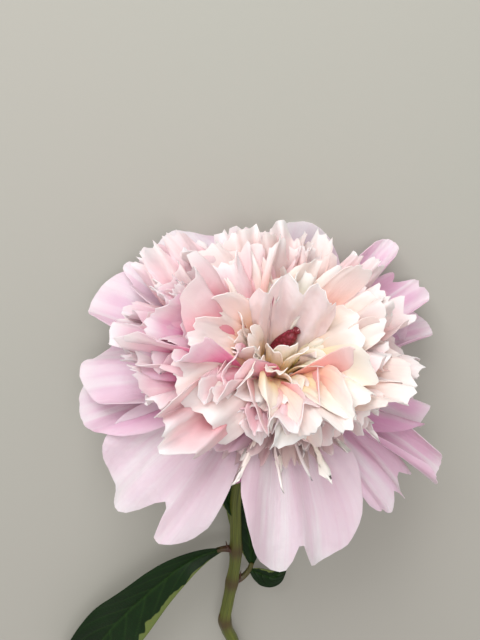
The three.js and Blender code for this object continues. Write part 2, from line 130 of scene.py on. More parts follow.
# The guard petals: broad, thin and softly veined, they spread round the bloom and hang from the rim of
# its receptacle. Each is a blade that widens from a narrow claw; its lean, cup, folds, notch and ruffled
# rim follow one formula, which the inner petals and the sepals share.
BLOOM_AT = Vector((-19, -49, 45))  # millimetres, the top of the receptacle
BLOOM_RISE = 33.5  # degrees that the bloom's axis climbs above the table
BLOOM_HEADING = 13.2
BLOOM_TURN = -5
PETAL_THICKNESS = 0.34
TABLE_CLEARANCE = 0.35
MATH = "ShaderNodeMath"

# Every size of a blade, or of a ring of them, with its usual value. Rise stands the upper petals of a
# ring up, Droop hangs the tips of the lower ones, Shortening and Narrowing shorten those below and
# beside the axis, and Flush makes the ones on the lower left pinker.
PETAL_FORM = {
    "Count": 1, "Columns": 31, "Rows": 27, "Seed": 0, "Wildness": 0.0, "Azimuth": 0.0, "Arc": 360.0,
    "Lean base": 80.0, "Lean tip": 80.0, "Rise": 0.0, "Droop": 0.0, "Shortening": 0.0, "Narrowing": 0.0,
    "Length": 50.0, "Width": 20.0, "Base radius": 5.0, "Base height": 0.0, "Claw": 0.14, "Roundness": 0.5,
    "Cleft": 0.0, "Cleft at": 0.0, "Cleft width": 0.15, "Teeth": 0.0, "Tooth count": 5.0, "Phase": 0.0,
    "Cup base": 0.6, "Cup tip": 0.3, "Fold": 0.0, "Fold count": 3.0, "Fold phase": 0.0, "Ruffle": 0.0,
    "Ruffle count": 5.0, "Curl": 0.0, "Twist": 0.0, "Side": 0.0, "Crumple": 0.5, "Raggedness": 0.03,
    "Tone": 0.5, "Flush": 0.0,
}
# How far each size of a petal in a ring may stray, times the ring's wildness. Length and width stray by
# a share of themselves, and the azimuth by a share of the gap between two petals.
PETAL_STRAY = {
    "Lean base": 6.0, "Lean tip": 19.0, "Length": 0.15, "Width": 0.35, "Roundness": 0.18, "Cleft": 0.1,
    "Cleft at": 0.5, "Teeth": 0.06, "Tooth count": 2.0, "Phase": 3.1, "Cup tip": 0.9, "Fold": 0.9,
    "Fold count": 1.2, "Fold phase": 3.1, "Ruffle": 1.8, "Ruffle count": 1.8, "Curl": 5.0, "Twist": 46.0,
    "Side": 9.0, "Tone": 0.5,
}
AZIMUTH_STRAY = 0.42
SEED_GAP = 40  # between the seeds of two sizes
PALE_SIDE = 0.6  # radians, the azimuth opposite the pinkest petals
LEAST_BEND = 0.0013  # radians, so that a straight blade divides by something
WIDENING = 1.3  # how slowly a claw widens to its blade
TOOTH_SPREAD = 0.4  # the share by which teeth stray from their middle size
TOOTH_DRIFT = 2.3  # how fast they do so across the blade
TOOTH_DRIFT_PHASE = 1.7
NOISE_GAP = 3.7  # between the noise of two rings
TEARS = {"Scale": 7.0, "Detail": 3.0, "Roughness": 0.65}
TEARS_LEVEL = 0.4
FOLD_DEPTH = 0.1  # of half the width
MIDDLE_RUFFLE = 0.35  # of the ruffle at the rims
RUFFLE_START = 3  # powers of the way up the blade: the higher, the nearer the tip
CURL_START = 4
CREASES = {"Scale": 2.3, "Detail": 3.0}
CREASE_LIFT = 5
CREASE_SHIFT = 2


def new_tree(name, form, made, path=None):
    """A modifier's tree with an input for each size in a form and one for a material, and those inputs. It
    makes one piece of geometry, and may take another as its path."""
    tree = bpy.data.node_groups.new(name, "GeometryNodeTree")
    tree.is_modifier = True
    kinds = {int: "NodeSocketInt", float: "NodeSocketFloat", tuple: "NodeSocketVector"}
    if path:
        tree.interface.new_socket(path, in_out="INPUT", socket_type="NodeSocketGeometry")
    tree.interface.new_socket(made, in_out="OUTPUT", socket_type="NodeSocketGeometry")
    for label, value in form.items():
        socket = tree.interface.new_socket(label, in_out="INPUT", socket_type=kinds[type(value)])
        socket.default_value = value
    tree.interface.new_socket("Material", in_out="INPUT", socket_type="NodeSocketMaterial")
    return tree, dict(tree.nodes.new("NodeGroupInput").outputs.items())


def marked(tree, shape, marks):
    """Stores numbers at a shape's points, by name, for its material to read."""
    for label, field in marks.items():
        stored = {"Geometry": shape, "Name": label, "Value": field}
        shape = add(tree, "GeometryNodeStoreNamedAttribute", stored, data_type="FLOAT", domain="POINT")
    return shape


def bell(tree, value, sharpness=1):
    """A bell curve: 1 where the value is 0, and down to 0 on both sides."""
    fall = add(tree, MATH, (value, value), operation="MULTIPLY")
    fall = add(tree, MATH, (fall, -sharpness), operation="MULTIPLY")
    return add(tree, MATH, (fall,), operation="EXPONENT")


def laid(tree, shape):
    """Presses what would lie below the table's top flat on it, and shades the shape smooth."""
    spot = add(tree, "ShaderNodeSeparateXYZ", (add(tree, "GeometryNodeInputPosition"),))
    height = add(tree, MATH, (spot.outputs["Z"], TABLE_CLEARANCE * MM), operation="MAXIMUM")
    kept = add(tree, "ShaderNodeCombineXYZ", (spot.outputs["X"], spot.outputs["Y"], height))
    shape = add(tree, "GeometryNodeSetPosition", {"Geometry": shape, "Position": kept})
    return add(tree, "GeometryNodeSetShadeSmooth", {"Geometry": shape})


def finished(tree, shape, material):
    """Ends a tree with real geometry of one material."""
    shape = add(tree, "GeometryNodeRealizeInstances", {"Geometry": shape})
    shape = add(tree, "GeometryNodeSetMaterial", {"Geometry": shape, "Material": material})
    add(tree, "NodeGroupOutput", (shape,))


# One flat sheet for each petal, 2 wide and 1 long, numbered before they become one mesh.
petal_tree, size = new_tree("petal whorl", PETAL_FORM, "Petals")
dots = add(petal_tree, "GeometryNodeMeshLine", {"Count": size["Count"], "Offset": (0, 0, 0)})
sheet_sizes = {"Size X": 2.0, "Size Y": 1.0, "Vertices X": size["Columns"], "Vertices Y": size["Rows"]}
sheet = add(petal_tree, "GeometryNodeMeshGrid", sheet_sizes)
sheets = add(petal_tree, "GeometryNodeInstanceOnPoints", {"Points": dots, "Instance": sheet})
order = add(petal_tree, "GeometryNodeInputIndex")
store = {"Geometry": sheets, "Name": "number", "Value": order}
numbered = add(petal_tree, "GeometryNodeStoreNamedAttribute", store, data_type="INT", domain="INSTANCE")
flat = add(petal_tree, "GeometryNodeRealizeInstances", {"Geometry": numbered})
number = add(petal_tree, "GeometryNodeInputNamedAttribute", {"Name": "number"}, data_type="INT")

# A petal's own sizes: the ring's, strayed by chance.
for draw, (label, stray) in enumerate(PETAL_STRAY.items()):
    seed = add(petal_tree, MATH, (size["Seed"], SEED_GAP * draw + 1), operation="ADD")
    limits = {"Min": -stray, "Max": stray, "ID": number, "Seed": seed}
    chance = add(petal_tree, "FunctionNodeRandomValue", limits, data_type="FLOAT")
    strayed = add(petal_tree, MATH, (chance, size["Wildness"]), operation="MULTIPLY")
    if label in ("Length", "Width"):
        strayed = add(petal_tree, MATH, (strayed, size[label]), operation="MULTIPLY")
    size[label] = add(petal_tree, MATH, (size[label], strayed), operation="ADD")
gap = add(petal_tree, MATH, (size["Arc"], size["Count"]), operation="DIVIDE")
limits = {"Min": -AZIMUTH_STRAY, "Max": AZIMUTH_STRAY, "ID": number, "Seed": size["Seed"]}
shift = add(petal_tree, "FunctionNodeRandomValue", limits, data_type="FLOAT")
shift = add(petal_tree, MATH, (shift, size["Wildness"]), operation="MULTIPLY")
turns = add(petal_tree, MATH, (number, shift), operation="ADD")
azimuth = add(petal_tree, MATH, (turns, gap, size["Azimuth"]), operation="MULTIPLY_ADD")
azimuth = add(petal_tree, MATH, (azimuth,), operation="RADIANS")

# What its place in the ring does to it: its leans at the base and the tip, its length and its tone.
upper = add(petal_tree, MATH, (azimuth,), operation="SINE")
lifted = add(petal_tree, MATH, (upper, 0.5, 0.5), operation="MULTIPLY_ADD")
lifted = add(petal_tree, MATH, (lifted, size["Rise"]), operation="MULTIPLY")
start = add(petal_tree, MATH, (size["Lean base"], lifted), operation="SUBTRACT")
start = add(petal_tree, MATH, (start,), operation="RADIANS")
under = add(petal_tree, MATH, (upper, 0), operation="MINIMUM")
lowered = add(petal_tree, MATH, (under, size["Droop"]), operation="MULTIPLY")
lowered = add(petal_tree, MATH, (size["Lean tip"], lowered), operation="SUBTRACT")
finish = add(petal_tree, MATH, (lowered, lifted), operation="SUBTRACT")
finish = add(petal_tree, MATH, (finish,), operation="RADIANS")
sweep = add(petal_tree, MATH, (finish, start), operation="SUBTRACT")
sweep = add(petal_tree, MATH, (sweep, LEAST_BEND), operation="ADD")
beside = add(petal_tree, MATH, (azimuth,), operation="COSINE")
beside = add(petal_tree, MATH, (beside, beside), operation="MULTIPLY")
beside = add(petal_tree, MATH, (beside, size["Narrowing"]), operation="MULTIPLY")
shorter = add(petal_tree, MATH, (under, size["Shortening"], 1), operation="MULTIPLY_ADD")
shorter = add(petal_tree, MATH, (shorter, beside), operation="SUBTRACT")
size["Length"] = add(petal_tree, MATH, (size["Length"], shorter), operation="MULTIPLY")
facing = add(petal_tree, MATH, (azimuth, PALE_SIDE), operation="SUBTRACT")
facing = add(petal_tree, MATH, (facing,), operation="COSINE")
facing = add(petal_tree, MATH, (facing, 0), operation="MINIMUM")
facing = add(petal_tree, MATH, (facing, size["Flush"]), operation="MULTIPLY")
size["Tone"] = add(petal_tree, MATH, (size["Tone"], facing), operation="SUBTRACT")

# across runs from -1 to 1 from rim to rim, closer at the rims, and up from 0 to 1 from claw to tip.
spot = add(petal_tree, "ShaderNodeSeparateXYZ", (add(petal_tree, "GeometryNodeInputPosition"),))
up = add(petal_tree, MATH, (spot.outputs["Y"], 0.5), operation="ADD")
across = add(petal_tree, MATH, (spot.outputs["X"], math.pi / 2), operation="MULTIPLY")
across = add(petal_tree, MATH, (across,), operation="SINE")
across = add(petal_tree, MATH, (across, spot.outputs["X"]), operation="ADD")
across = add(petal_tree, MATH, (across, 0.5), operation="MULTIPLY")

# The outline of the tip: rounded corners, one notch, small teeth and a ragged rim.
corner = add(petal_tree, MATH, (across, across), operation="MULTIPLY")
corner = add(petal_tree, MATH, (1, corner), operation="SUBTRACT")
corner = add(petal_tree, MATH, (corner, 0), operation="MAXIMUM")
corner = add(petal_tree, MATH, (corner,), operation="SQRT")
corner = add(petal_tree, MATH, (1, corner), operation="SUBTRACT")
notch = add(petal_tree, MATH, (across, size["Cleft at"]), operation="SUBTRACT")
notch = add(petal_tree, MATH, (notch, size["Cleft width"]), operation="DIVIDE")
notch = bell(petal_tree, notch)
tooth = add(petal_tree, MATH, (across, size["Tooth count"], size["Phase"]), operation="MULTIPLY_ADD")
tooth = add(petal_tree, MATH, (tooth,), operation="SINE")
tooth = add(petal_tree, MATH, (tooth,), operation="ABSOLUTE")
tooth = add(petal_tree, MATH, (1, tooth), operation="SUBTRACT")
uneven = add(petal_tree, MATH, (size["Phase"], TOOTH_DRIFT_PHASE), operation="MULTIPLY")
uneven = add(petal_tree, MATH, (across, TOOTH_DRIFT, uneven), operation="MULTIPLY_ADD")
uneven = add(petal_tree, MATH, (uneven,), operation="SINE")
uneven = add(petal_tree, MATH, (uneven, TOOTH_SPREAD, 1 - TOOTH_SPREAD), operation="MULTIPLY_ADD")
tooth = add(petal_tree, MATH, (tooth, uneven), operation="MULTIPLY")
salted = add(petal_tree, MATH, (size["Seed"], NOISE_GAP, number), operation="MULTIPLY_ADD")
torn_at = add(petal_tree, "ShaderNodeCombineXYZ", {"X": across, "Z": salted})
torn = add(petal_tree, "ShaderNodeTexNoise", {"Vector": torn_at, **TEARS})
torn = add(petal_tree, MATH, (torn, TEARS_LEVEL), operation="SUBTRACT")
tip = add(petal_tree, MATH, (corner, size["Roundness"]), operation="MULTIPLY")
tip = add(petal_tree, MATH, (notch, size["Cleft"], tip), operation="MULTIPLY_ADD")
tip = add(petal_tree, MATH, (tooth, size["Teeth"], tip), operation="MULTIPLY_ADD")
tip = add(petal_tree, MATH, (torn, size["Raggedness"], tip), operation="MULTIPLY_ADD")
tip = add(petal_tree, MATH, (1, tip), operation="SUBTRACT")
along = add(petal_tree, MATH, (up, tip), operation="MULTIPLY")

# The middle line: it leaves the axis with the base's lean and bends evenly to the tip's.
lean = add(petal_tree, MATH, (sweep, along, start), operation="MULTIPLY_ADD")
arc = add(petal_tree, MATH, (size["Length"], sweep), operation="DIVIDE")
start_cos, start_sin, lean_cos, lean_sin = [
    add(petal_tree, MATH, (angle,), operation=ratio)
    for angle in (start, lean) for ratio in ("COSINE", "SINE")]
radius = add(petal_tree, MATH, (start_cos, lean_cos), operation="SUBTRACT")
radius = add(petal_tree, MATH, (radius, arc, size["Base radius"]), operation="MULTIPLY_ADD")
height = add(petal_tree, MATH, (lean_sin, start_sin), operation="SUBTRACT")
height = add(petal_tree, MATH, (height, arc, size["Base height"]), operation="MULTIPLY_ADD")

# The cross-section: an arc as wide as the petal is there, with folds, ruffles and crumples on it.
widen = add(petal_tree, MATH, (up, math.pi / 2), operation="MULTIPLY")
widen = add(petal_tree, MATH, (widen,), operation="SINE")
widen = add(petal_tree, MATH, (widen, WIDENING), operation="POWER")
spare = add(petal_tree, MATH, (1, size["Claw"]), operation="SUBTRACT")
half = add(petal_tree, MATH, (widen, spare, size["Claw"]), operation="MULTIPLY_ADD")
half = add(petal_tree, MATH, (half, size["Width"]), operation="MULTIPLY")
half = add(petal_tree, MATH, (half, 0.5), operation="MULTIPLY")
cup = add(petal_tree, MATH, (size["Cup tip"], size["Cup base"]), operation="SUBTRACT")
cup = add(petal_tree, MATH, (cup, up, size["Cup base"]), operation="MULTIPLY_ADD")
cup = add(petal_tree, MATH, (cup, LEAST_BEND), operation="ADD")
bend = add(petal_tree, MATH, (cup, across), operation="MULTIPLY")
bow = add(petal_tree, MATH, (half, cup), operation="DIVIDE")
lateral = add(petal_tree, MATH, (bend,), operation="SINE")
lateral = add(petal_tree, MATH, (lateral, bow), operation="MULTIPLY")
lift = add(petal_tree, MATH, (bend,), operation="COSINE")
lift = add(petal_tree, MATH, (1, lift), operation="SUBTRACT")
lift = add(petal_tree, MATH, (lift, bow), operation="MULTIPLY")
fold = add(petal_tree, MATH, (size["Fold count"], math.pi), operation="MULTIPLY")
fold = add(petal_tree, MATH, (fold, across, size["Fold phase"]), operation="MULTIPLY_ADD")
fold = add(petal_tree, MATH, (fold,), operation="COSINE")
fold = add(petal_tree, MATH, (fold, size["Fold"]), operation="MULTIPLY")
fold = add(petal_tree, MATH, (fold, half), operation="MULTIPLY")
fold = add(petal_tree, MATH, (fold, up), operation="MULTIPLY")
lift = add(petal_tree, MATH, (fold, FOLD_DEPTH, lift), operation="MULTIPLY_ADD")
ruffle = add(petal_tree, MATH, (size["Ruffle count"], math.pi / 2), operation="MULTIPLY")
ruffle = add(petal_tree, MATH, (ruffle, across, size["Phase"]), operation="MULTIPLY_ADD")
ruffle = add(petal_tree, MATH, (ruffle,), operation="SINE")
ruffle = add(petal_tree, MATH, (ruffle, size["Ruffle"]), operation="MULTIPLY")
rimward = add(petal_tree, MATH, (across,), operation="ABSOLUTE")
rimward = add(petal_tree, MATH, (rimward, 1 - MIDDLE_RUFFLE, MIDDLE_RUFFLE), operation="MULTIPLY_ADD")
ruffle = add(petal_tree, MATH, (ruffle, rimward), operation="MULTIPLY")
tipward = add(petal_tree, MATH, (up, RUFFLE_START), operation="POWER")
lift = add(petal_tree, MATH, (ruffle, tipward, lift), operation="MULTIPLY_ADD")
rolled = add(petal_tree, MATH, (up, CURL_START), operation="POWER")
lift = add(petal_tree, MATH, (rolled, size["Curl"], lift), operation="MULTIPLY_ADD")
crease_at = add(petal_tree, "ShaderNodeCombineXYZ", {"X": across, "Y": along, "Z": salted})
crease = add(petal_tree, "ShaderNodeTexNoise", {"Vector": crease_at, **CREASES})
creases = add(petal_tree, "ShaderNodeSeparateXYZ", (crease.outputs["Color"],))
weight = add(petal_tree, MATH, (size["Crumple"], up), operation="MULTIPLY")
crease = add(petal_tree, MATH, (creases.outputs["X"], 0.5), operation="SUBTRACT")
crease = add(petal_tree, MATH, (crease, weight), operation="MULTIPLY")
lift = add(petal_tree, MATH, (crease, CREASE_LIFT, lift), operation="MULTIPLY_ADD")
crease = add(petal_tree, MATH, (creases.outputs["Y"], 0.5), operation="SUBTRACT")
crease = add(petal_tree, MATH, (crease, weight), operation="MULTIPLY")
lateral = add(petal_tree, MATH, (crease, CREASE_SHIFT, lateral), operation="MULTIPLY_ADD")

# Twisted, bent sideways, leaned out and turned to its azimuth.
turn = add(petal_tree, MATH, (size["Twist"],), operation="RADIANS")
turn = add(petal_tree, MATH, (turn, along), operation="MULTIPLY")
turn_cos = add(petal_tree, MATH, (turn,), operation="COSINE")
turn_sin = add(petal_tree, MATH, (turn,), operation="SINE")
sideways = add(petal_tree, MATH, (lateral, turn_cos), operation="MULTIPLY")
dropped = add(petal_tree, MATH, (lift, turn_sin), operation="MULTIPLY")
sideways = add(petal_tree, MATH, (sideways, dropped), operation="SUBTRACT")
swing = add(petal_tree, MATH, (along, along), operation="MULTIPLY")
sideways = add(petal_tree, MATH, (swing, size["Side"], sideways), operation="MULTIPLY_ADD")
inwards = add(petal_tree, MATH, (lift, turn_cos), operation="MULTIPLY")
inwards = add(petal_tree, MATH, (lateral, turn_sin, inwards), operation="MULTIPLY_ADD")
out = add(petal_tree, MATH, (inwards, lean_cos), operation="MULTIPLY")
out = add(petal_tree, MATH, (radius, out), operation="SUBTRACT")
level = add(petal_tree, MATH, (inwards, lean_sin, height), operation="MULTIPLY_ADD")
posed = add(petal_tree, "ShaderNodeCombineXYZ", {"X": out, "Y": sideways, "Z": level})
posed = add(petal_tree, "ShaderNodeVectorRotate", {"Vector": posed, "Angle": azimuth}, rotation_type="Z_AXIS")

# Marked for the material, set down on the receptacle and laid on the table. The rim's edges are sharp to
# the eye, so that the blade looks as thin as it is.
bloom_turn = Matrix.Rotation(math.radians(-BLOOM_HEADING), 3, "Z") @ Matrix.Rotation(
    math.radians(BLOOM_RISE - 90), 3, "X") @ Matrix.Rotation(math.radians(BLOOM_TURN), 3, "Z")
shape = marked(petal_tree, flat, {"across": across, "along": along, "tone": size["Tone"]})
shape = add(petal_tree, "GeometryNodeSetPosition", {"Geometry": shape, "Position": posed})
set_down = {
    "Geometry": shape, "Translation": BLOOM_AT * MM, "Rotation": bloom_turn.to_euler(), "Scale": (MM, MM, MM),
}
shape = laid(petal_tree, add(petal_tree, "GeometryNodeTransform", set_down))
neighbours = add(petal_tree, "GeometryNodeInputMeshEdgeNeighbors")
on_rim = add(petal_tree, "FunctionNodeCompare", (neighbours, 1), data_type="INT", operation="EQUAL")
crisp = {"Geometry": shape, "Selection": on_rim, "Shade Smooth": False}
shape = add(petal_tree, "GeometryNodeSetShadeSmooth", crisp, domain="EDGE")
finished(petal_tree, shape, size["Material"])


def grown(name, source, tree, sizes):
    """A piece that a tree grows from an object's data, kept as a plain mesh."""
    maker = bpy.data.objects.new(name, source)
    bpy.context.collection.objects.link(maker)
    growth = maker.modifiers.new("growth", "NODES")
    growth.node_group = tree
    for label, value in sizes.items():
        growth[tree.interface.items_tree[label].identifier] = value
    depsgraph = bpy.context.evaluated_depsgraph_get()
    mesh = bpy.data.meshes.new_from_object(
        maker.evaluated_get(depsgraph), preserve_all_data_layers=True, depsgraph=depsgraph)
    bpy.data.objects.remove(maker)
    piece = bpy.data.objects.new(name, mesh)
    bpy.context.collection.objects.link(piece)
    return piece


def hand_over(piece, node):
    """Gives a piece to the part's one body in place of a node."""
    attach(piece, "root")
    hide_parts(node)


def petals(name, form, material, node):
    """A piece of one or more petals, each a blade with its thickness."""
    sizes = {**PETAL_FORM, **form, "Material": material}
    piece = grown(name, bpy.data.meshes.new(name), petal_tree, sizes)
    wall = piece.modifiers.new("thickness", "SOLIDIFY")
    wall.thickness = PETAL_THICKNESS * MM
    wall.offset = 0
    hand_over(piece, node)


def petal_tissue(name, pale, flushed, streak, streak_share, crinkle_depth):
    """Living petal: a waxy skin over wet, translucent cells, so it is soft and lit through, with fine
    veins that fan out along it. pale and flushed are its colours from claw to tip; tone mixes them.
    The depth of its crinkles is in millimetres, less for a narrow petal, whose crinkles are closer."""
    material, nodes, skin = new_material(name)
    along, across, tone, number = [
        add(nodes, "ShaderNodeAttribute", attribute_name=mark).outputs["Fac"]
        for mark in ("along", "across", "tone", "number")]
    ramps = []
    for stops in (pale, flushed):
        ramp = add(nodes, "ShaderNodeValToRGB", {"Fac": along})
        ramp.color_ramp.interpolation = "EASE"
        for i, (at, code) in enumerate(stops):
            stop = ramp.color_ramp.elements[i] if i < 2 else ramp.color_ramp.elements.new(at)
            stop.position = at
            stop.color = colour(code)
        ramps.append(ramp)
    mixed = {"Factor": tone, "A": ramps[0], "B": ramps[1]}
    mixed = add(nodes, "ShaderNodeMix", mixed, data_type="RGBA", clamp_factor=False, clamp_result=True)
    # Each pattern is scaled across the blade, along it and from petal to petal.
    blade_at = add(nodes, "ShaderNodeCombineXYZ", (across, along, number))
    # Broad streaks where folds in the bud kept the light off, 2 to 9 mm apart with the blade's width.
    broad_at = add(nodes, "ShaderNodeVectorMath", (blade_at, (3.2, 0.9, 3.1)), operation="MULTIPLY")
    broad = add(nodes, "ShaderNodeTexNoise", {"Vector": broad_at, "Scale": 1.0, "Detail": 2.0})
    share = {"Value": broad, "From Min": 0.45, "From Max": 0.75, "To Max": streak_share}
    share = add(nodes, "ShaderNodeMapRange", share)
    streaked = {"Factor": share, "A": mixed, "B": colour(streak)}
    streaked = add(nodes, "ShaderNodeMix", streaked, data_type="RGBA")
    # Veins, mostly 0.4 to 1.5 mm apart, drawn a little coarser than the real ones so that they show.
    vein_at = add(nodes, "ShaderNodeVectorMath", (blade_at, (17.0, 1.3, 5.7)), operation="MULTIPLY")
    vein = {"Vector": vein_at, "Scale": 1.0, "Detail": 3.0, "Roughness": 0.6}
    vein = add(nodes, "ShaderNodeTexNoise", vein)
    share = {"Value": vein, "From Min": 0.5, "From Max": 0.75, "To Max": 0.4}
    share = add(nodes, "ShaderNodeMapRange", share)
    veined = add(nodes, "ShaderNodeMix", {"Factor": share, "A": streaked, "B": ramps[1]}, data_type="RGBA")
    # A narrow rim in the tip's pale colour.
    rimward = add(nodes, MATH, (across,), operation="ABSOLUTE")
    share = add(nodes, "ShaderNodeMapRange", {"Value": rimward, "From Min": 0.8, "To Max": 0.15})
    share = add(nodes, MATH, (share, along), operation="MULTIPLY")
    rimmed = {"Factor": share, "A": veined, "B": colour(pale[-1][1])}
    rimmed = add(nodes, "ShaderNodeMix", rimmed, data_type="RGBA")
    # Crinkles 2 to 7 mm long, left from being packed in the bud.
    crinkle_at = add(nodes, "ShaderNodeVectorMath", (blade_at, (5.0, 11.0, 2.3)), operation="MULTIPLY")
    crinkle = add(nodes, "ShaderNodeTexNoise", {"Vector": crinkle_at, "Scale": 1.0, "Detail": 4.0})
    crinkled = {"Strength": 0.5, "Distance": crinkle_depth * MM, "Height": crinkle}
    crinkled = add(nodes, "ShaderNodeBump", crinkled)
    relief = {"Strength": 0.4, "Distance": crinkle_depth / 3 * MM, "Height": vein, "Normal": crinkled}
    relief = add(nodes, "ShaderNodeBump", relief)
    fill(nodes, skin, {
        "Base Color": rimmed, "Normal": relief, "Roughness": 0.58, "Specular IOR Level": 0.3,
        "Subsurface Weight": 0.5, "Subsurface Radius": (1.0, 0.85, 0.8), "Subsurface Scale": 2 * MM,
        "Sheen Weight": 0.15,
    })
    return material


guard_tissue = petal_tissue(
    "guard petal tissue",
    [(0.0, "#a8606c"), (0.14, "#dcaabc"), (0.45, "#eed3dd"), (0.85, "#efdae3"), (1.0, "#f4e9ed")],
    [(0.0, "#8f4656"), (0.14, "#cc87a4"), (0.45, "#e0aac6"), (0.85, "#e6bdd2"), (1.0, "#efd7e2")],
    "#f6eff1", 0.8, 1.2)

# Azimuths and leans in degrees, lengths in millimetres. The last three lie under the bloom, on the table.
GUARD_PETALS = [
    {"Azimuth": -17.0, "Lean base": 95.0, "Lean tip": 128.0, "Length": 74.0, "Width": 33.0,
     "Base height": -1.5, "Claw": 0.16, "Roundness": 0.2, "Teeth": 0.14, "Tooth count": 5.0, "Phase": 0.8,
     "Cup base": 0.7, "Cup tip": -0.3, "Fold": 1.6, "Fold count": 2.6, "Fold phase": 0.8, "Tone": 0.9},
    {"Azimuth": -7.0, "Lean base": 92.0, "Lean tip": 118.0, "Length": 79.0, "Width": 26.0,
     "Base height": -1.5, "Claw": 0.2, "Roundness": 0.15, "Cup base": 0.7, "Cup tip": 2.2, "Tone": 1.15},
    {"Azimuth": -60.0, "Lean base": 100.0, "Lean tip": 146.0, "Length": 77.5, "Width": 53.0,
     "Base height": -2.0, "Cleft": 0.2, "Cleft at": -0.04, "Cleft width": 0.16, "Cup base": 0.7,
     "Cup tip": 0.35, "Fold": 1.3, "Fold count": 2.2, "Fold phase": 0.4, "Tone": 0.35},
    {"Azimuth": -126.0, "Lean base": 100.0, "Lean tip": 144.0, "Length": 78.0, "Width": 57.0,
     "Base height": -2.5, "Roundness": 0.3, "Cleft": 0.19, "Cleft at": 0.26, "Cleft width": 0.2,
     "Cup tip": 0.2, "Fold": 1.4, "Fold count": 2.4, "Fold phase": 1.0, "Tone": 0.35},
    {"Azimuth": 14.0, "Lean base": 86.0, "Lean tip": 112.0, "Length": 69.0, "Width": 44.0,
     "Base height": -2.0, "Roundness": 0.55, "Cup base": 0.7, "Cup tip": 0.5, "Fold": 1.7, "Tone": 1.5},
    {"Azimuth": -173.0, "Lean base": 88.0, "Lean tip": 122.0, "Length": 76.0, "Width": 46.0,
     "Base height": -2.0, "Roundness": 0.45, "Fold": 1.7, "Fold count": 1.7, "Tone": 0.8},
    {"Azimuth": 167.0, "Lean base": 80.0, "Lean tip": 102.0, "Length": 82.0, "Width": 47.0,
     "Base height": -2.0, "Cup base": 0.7, "Cup tip": 0.5, "Fold": 1.7, "Fold count": 1.2,
     "Fold phase": 2.6, "Tone": 1.0},
    {"Azimuth": 64.0, "Lean base": 70.0, "Lean tip": 60.0, "Length": 80.0, "Width": 22.0,
     "Base height": -2.0, "Claw": 0.2, "Roundness": 0.3, "Cup base": 0.7, "Cup tip": 2.0, "Side": -3.0,
     "Tone": 1.15},
    {"Azimuth": 47.0, "Lean base": 74.0, "Lean tip": 74.0, "Length": 80.0, "Width": 30.0,
     "Base height": -2.5, "Claw": 0.2, "Roundness": 0.3, "Teeth": 0.08, "Cup tip": 1.3, "Fold": 1.5,
     "Fold count": 2.3, "Tone": 1.3},
    {"Azimuth": 38.0, "Lean base": 80.0, "Lean tip": 86.0, "Length": 76.0, "Width": 24.0,
     "Base height": -2.5, "Claw": 0.2, "Roundness": 0.25, "Cup tip": 1.5, "Tone": 1.2},
    {"Azimuth": 154.0, "Lean base": 76.0, "Lean tip": 92.0, "Length": 78.0, "Width": 30.0,
     "Base height": -2.2, "Claw": 0.16, "Roundness": 0.3, "Teeth": 0.1, "Tooth count": 4.0, "Phase": 0.5,
     "Cup base": 0.7, "Cup tip": 0.4, "Fold": 0.8, "Fold count": 2.0, "Tone": 0.6},
    {"Azimuth": 138.0, "Lean base": 72.0, "Lean tip": 86.0, "Length": 77.0, "Width": 50.0,
     "Base height": -2.5, "Cup base": 0.7, "Cup tip": 0.4, "Fold": 0.8, "Fold count": 2.0, "Tone": 0.6},
    {"Azimuth": -166.0, "Lean base": 95.0, "Lean tip": 130.0, "Length": 80.0, "Width": 44.0,
     "Base height": -3.0, "Roundness": 0.4, "Cup tip": -0.2, "Fold": 1.0, "Fold count": 1.5,
     "Fold phase": 2.0, "Tone": 1.1},
    {"Azimuth": -103.0, "Lean base": 105.0, "Lean tip": 150.0, "Length": 44.0, "Width": 28.0,
     "Base height": -1.0, "Claw": 0.2, "Cup base": 0.5, "Cup tip": -0.3, "Tone": 3.0},
    {"Azimuth": 52.0, "Lean base": 95.0, "Lean tip": 60.0, "Length": 72.0, "Width": 48.0,
     "Base height": -3.5, "Cup tip": 0.2, "Tone": 0.4},
    {"Azimuth": 128.0, "Lean base": 95.0, "Lean tip": 60.0, "Length": 70.0, "Width": 48.0,
     "Base height": -3.5, "Cup tip": 0.2, "Tone": 0.4},
    {"Azimuth": 92.0, "Lean base": 100.0, "Lean tip": 36.0, "Length": 78.5, "Width": 50.0,
     "Base height": -3.5, "Cup tip": 0.2, "Tone": 0.4},
]
GUARD_CRUMPLE = 1.1
for i, form in enumerate(GUARD_PETALS):
    node = f"guard_petal_{i + 1:02d}"
    form = {**form, "Crumple": GUARD_CRUMPLE, "Seed": i}
    petals(f"{node}_blade", form, guard_tissue, node)

# The inner petals: a peony's stamens turned into ragged, crowded petals. They stand in rings, drooping
# in the collar, upright in the heart, peach and gold near their claws and almost white at their tips.
# The claws' peach and gold are painted deeper to stand in for warm light bounced between the petals, the
# heart's petals are painted lighter against their shade, and the collar's darker with painted shade.
# Its claws' own peach and gold are painted deeper and brighter, to stand in for the warm light that bounces
# between the crowded petals in their recesses.
inner_tissue = petal_tissue(
    "inner petal tissue",
    [(0.0, "#e88a20"), (0.18, "#ffab5c"), (0.38, "#ffc49c"), (0.6, "#fdcdb8"), (0.8, "#fbe2da"),
     (1.0, "#fcf7f4")],
    [(0.0, "#e07848"), (0.18, "#f48a80"), (0.38, "#ee8c92"), (0.6, "#eda2a9"), (0.82, "#f3cfd3"),
     (1.0, "#fbf3f4")],
    "#ffeee6", 0.4, 0.9)
# The heart petals' own cream and gold, painted lighter to offset the shade that they stand in among the
# taller petals.
heart_tissue = petal_tissue(
    "heart petal tissue",
    [(0.0, "#a8820c"), (0.22, "#f0c03e"), (0.45, "#ffe2a4"), (0.7, "#fff3dc"), (1.0, "#fffefb")],
    [(0.0, "#b8841c"), (0.22, "#f6b25c"), (0.45, "#fdc9a4"), (0.7, "#ffe4da"), (1.0, "#fffaf8")],
    "#fdf0e2", 0.4, 0.35)
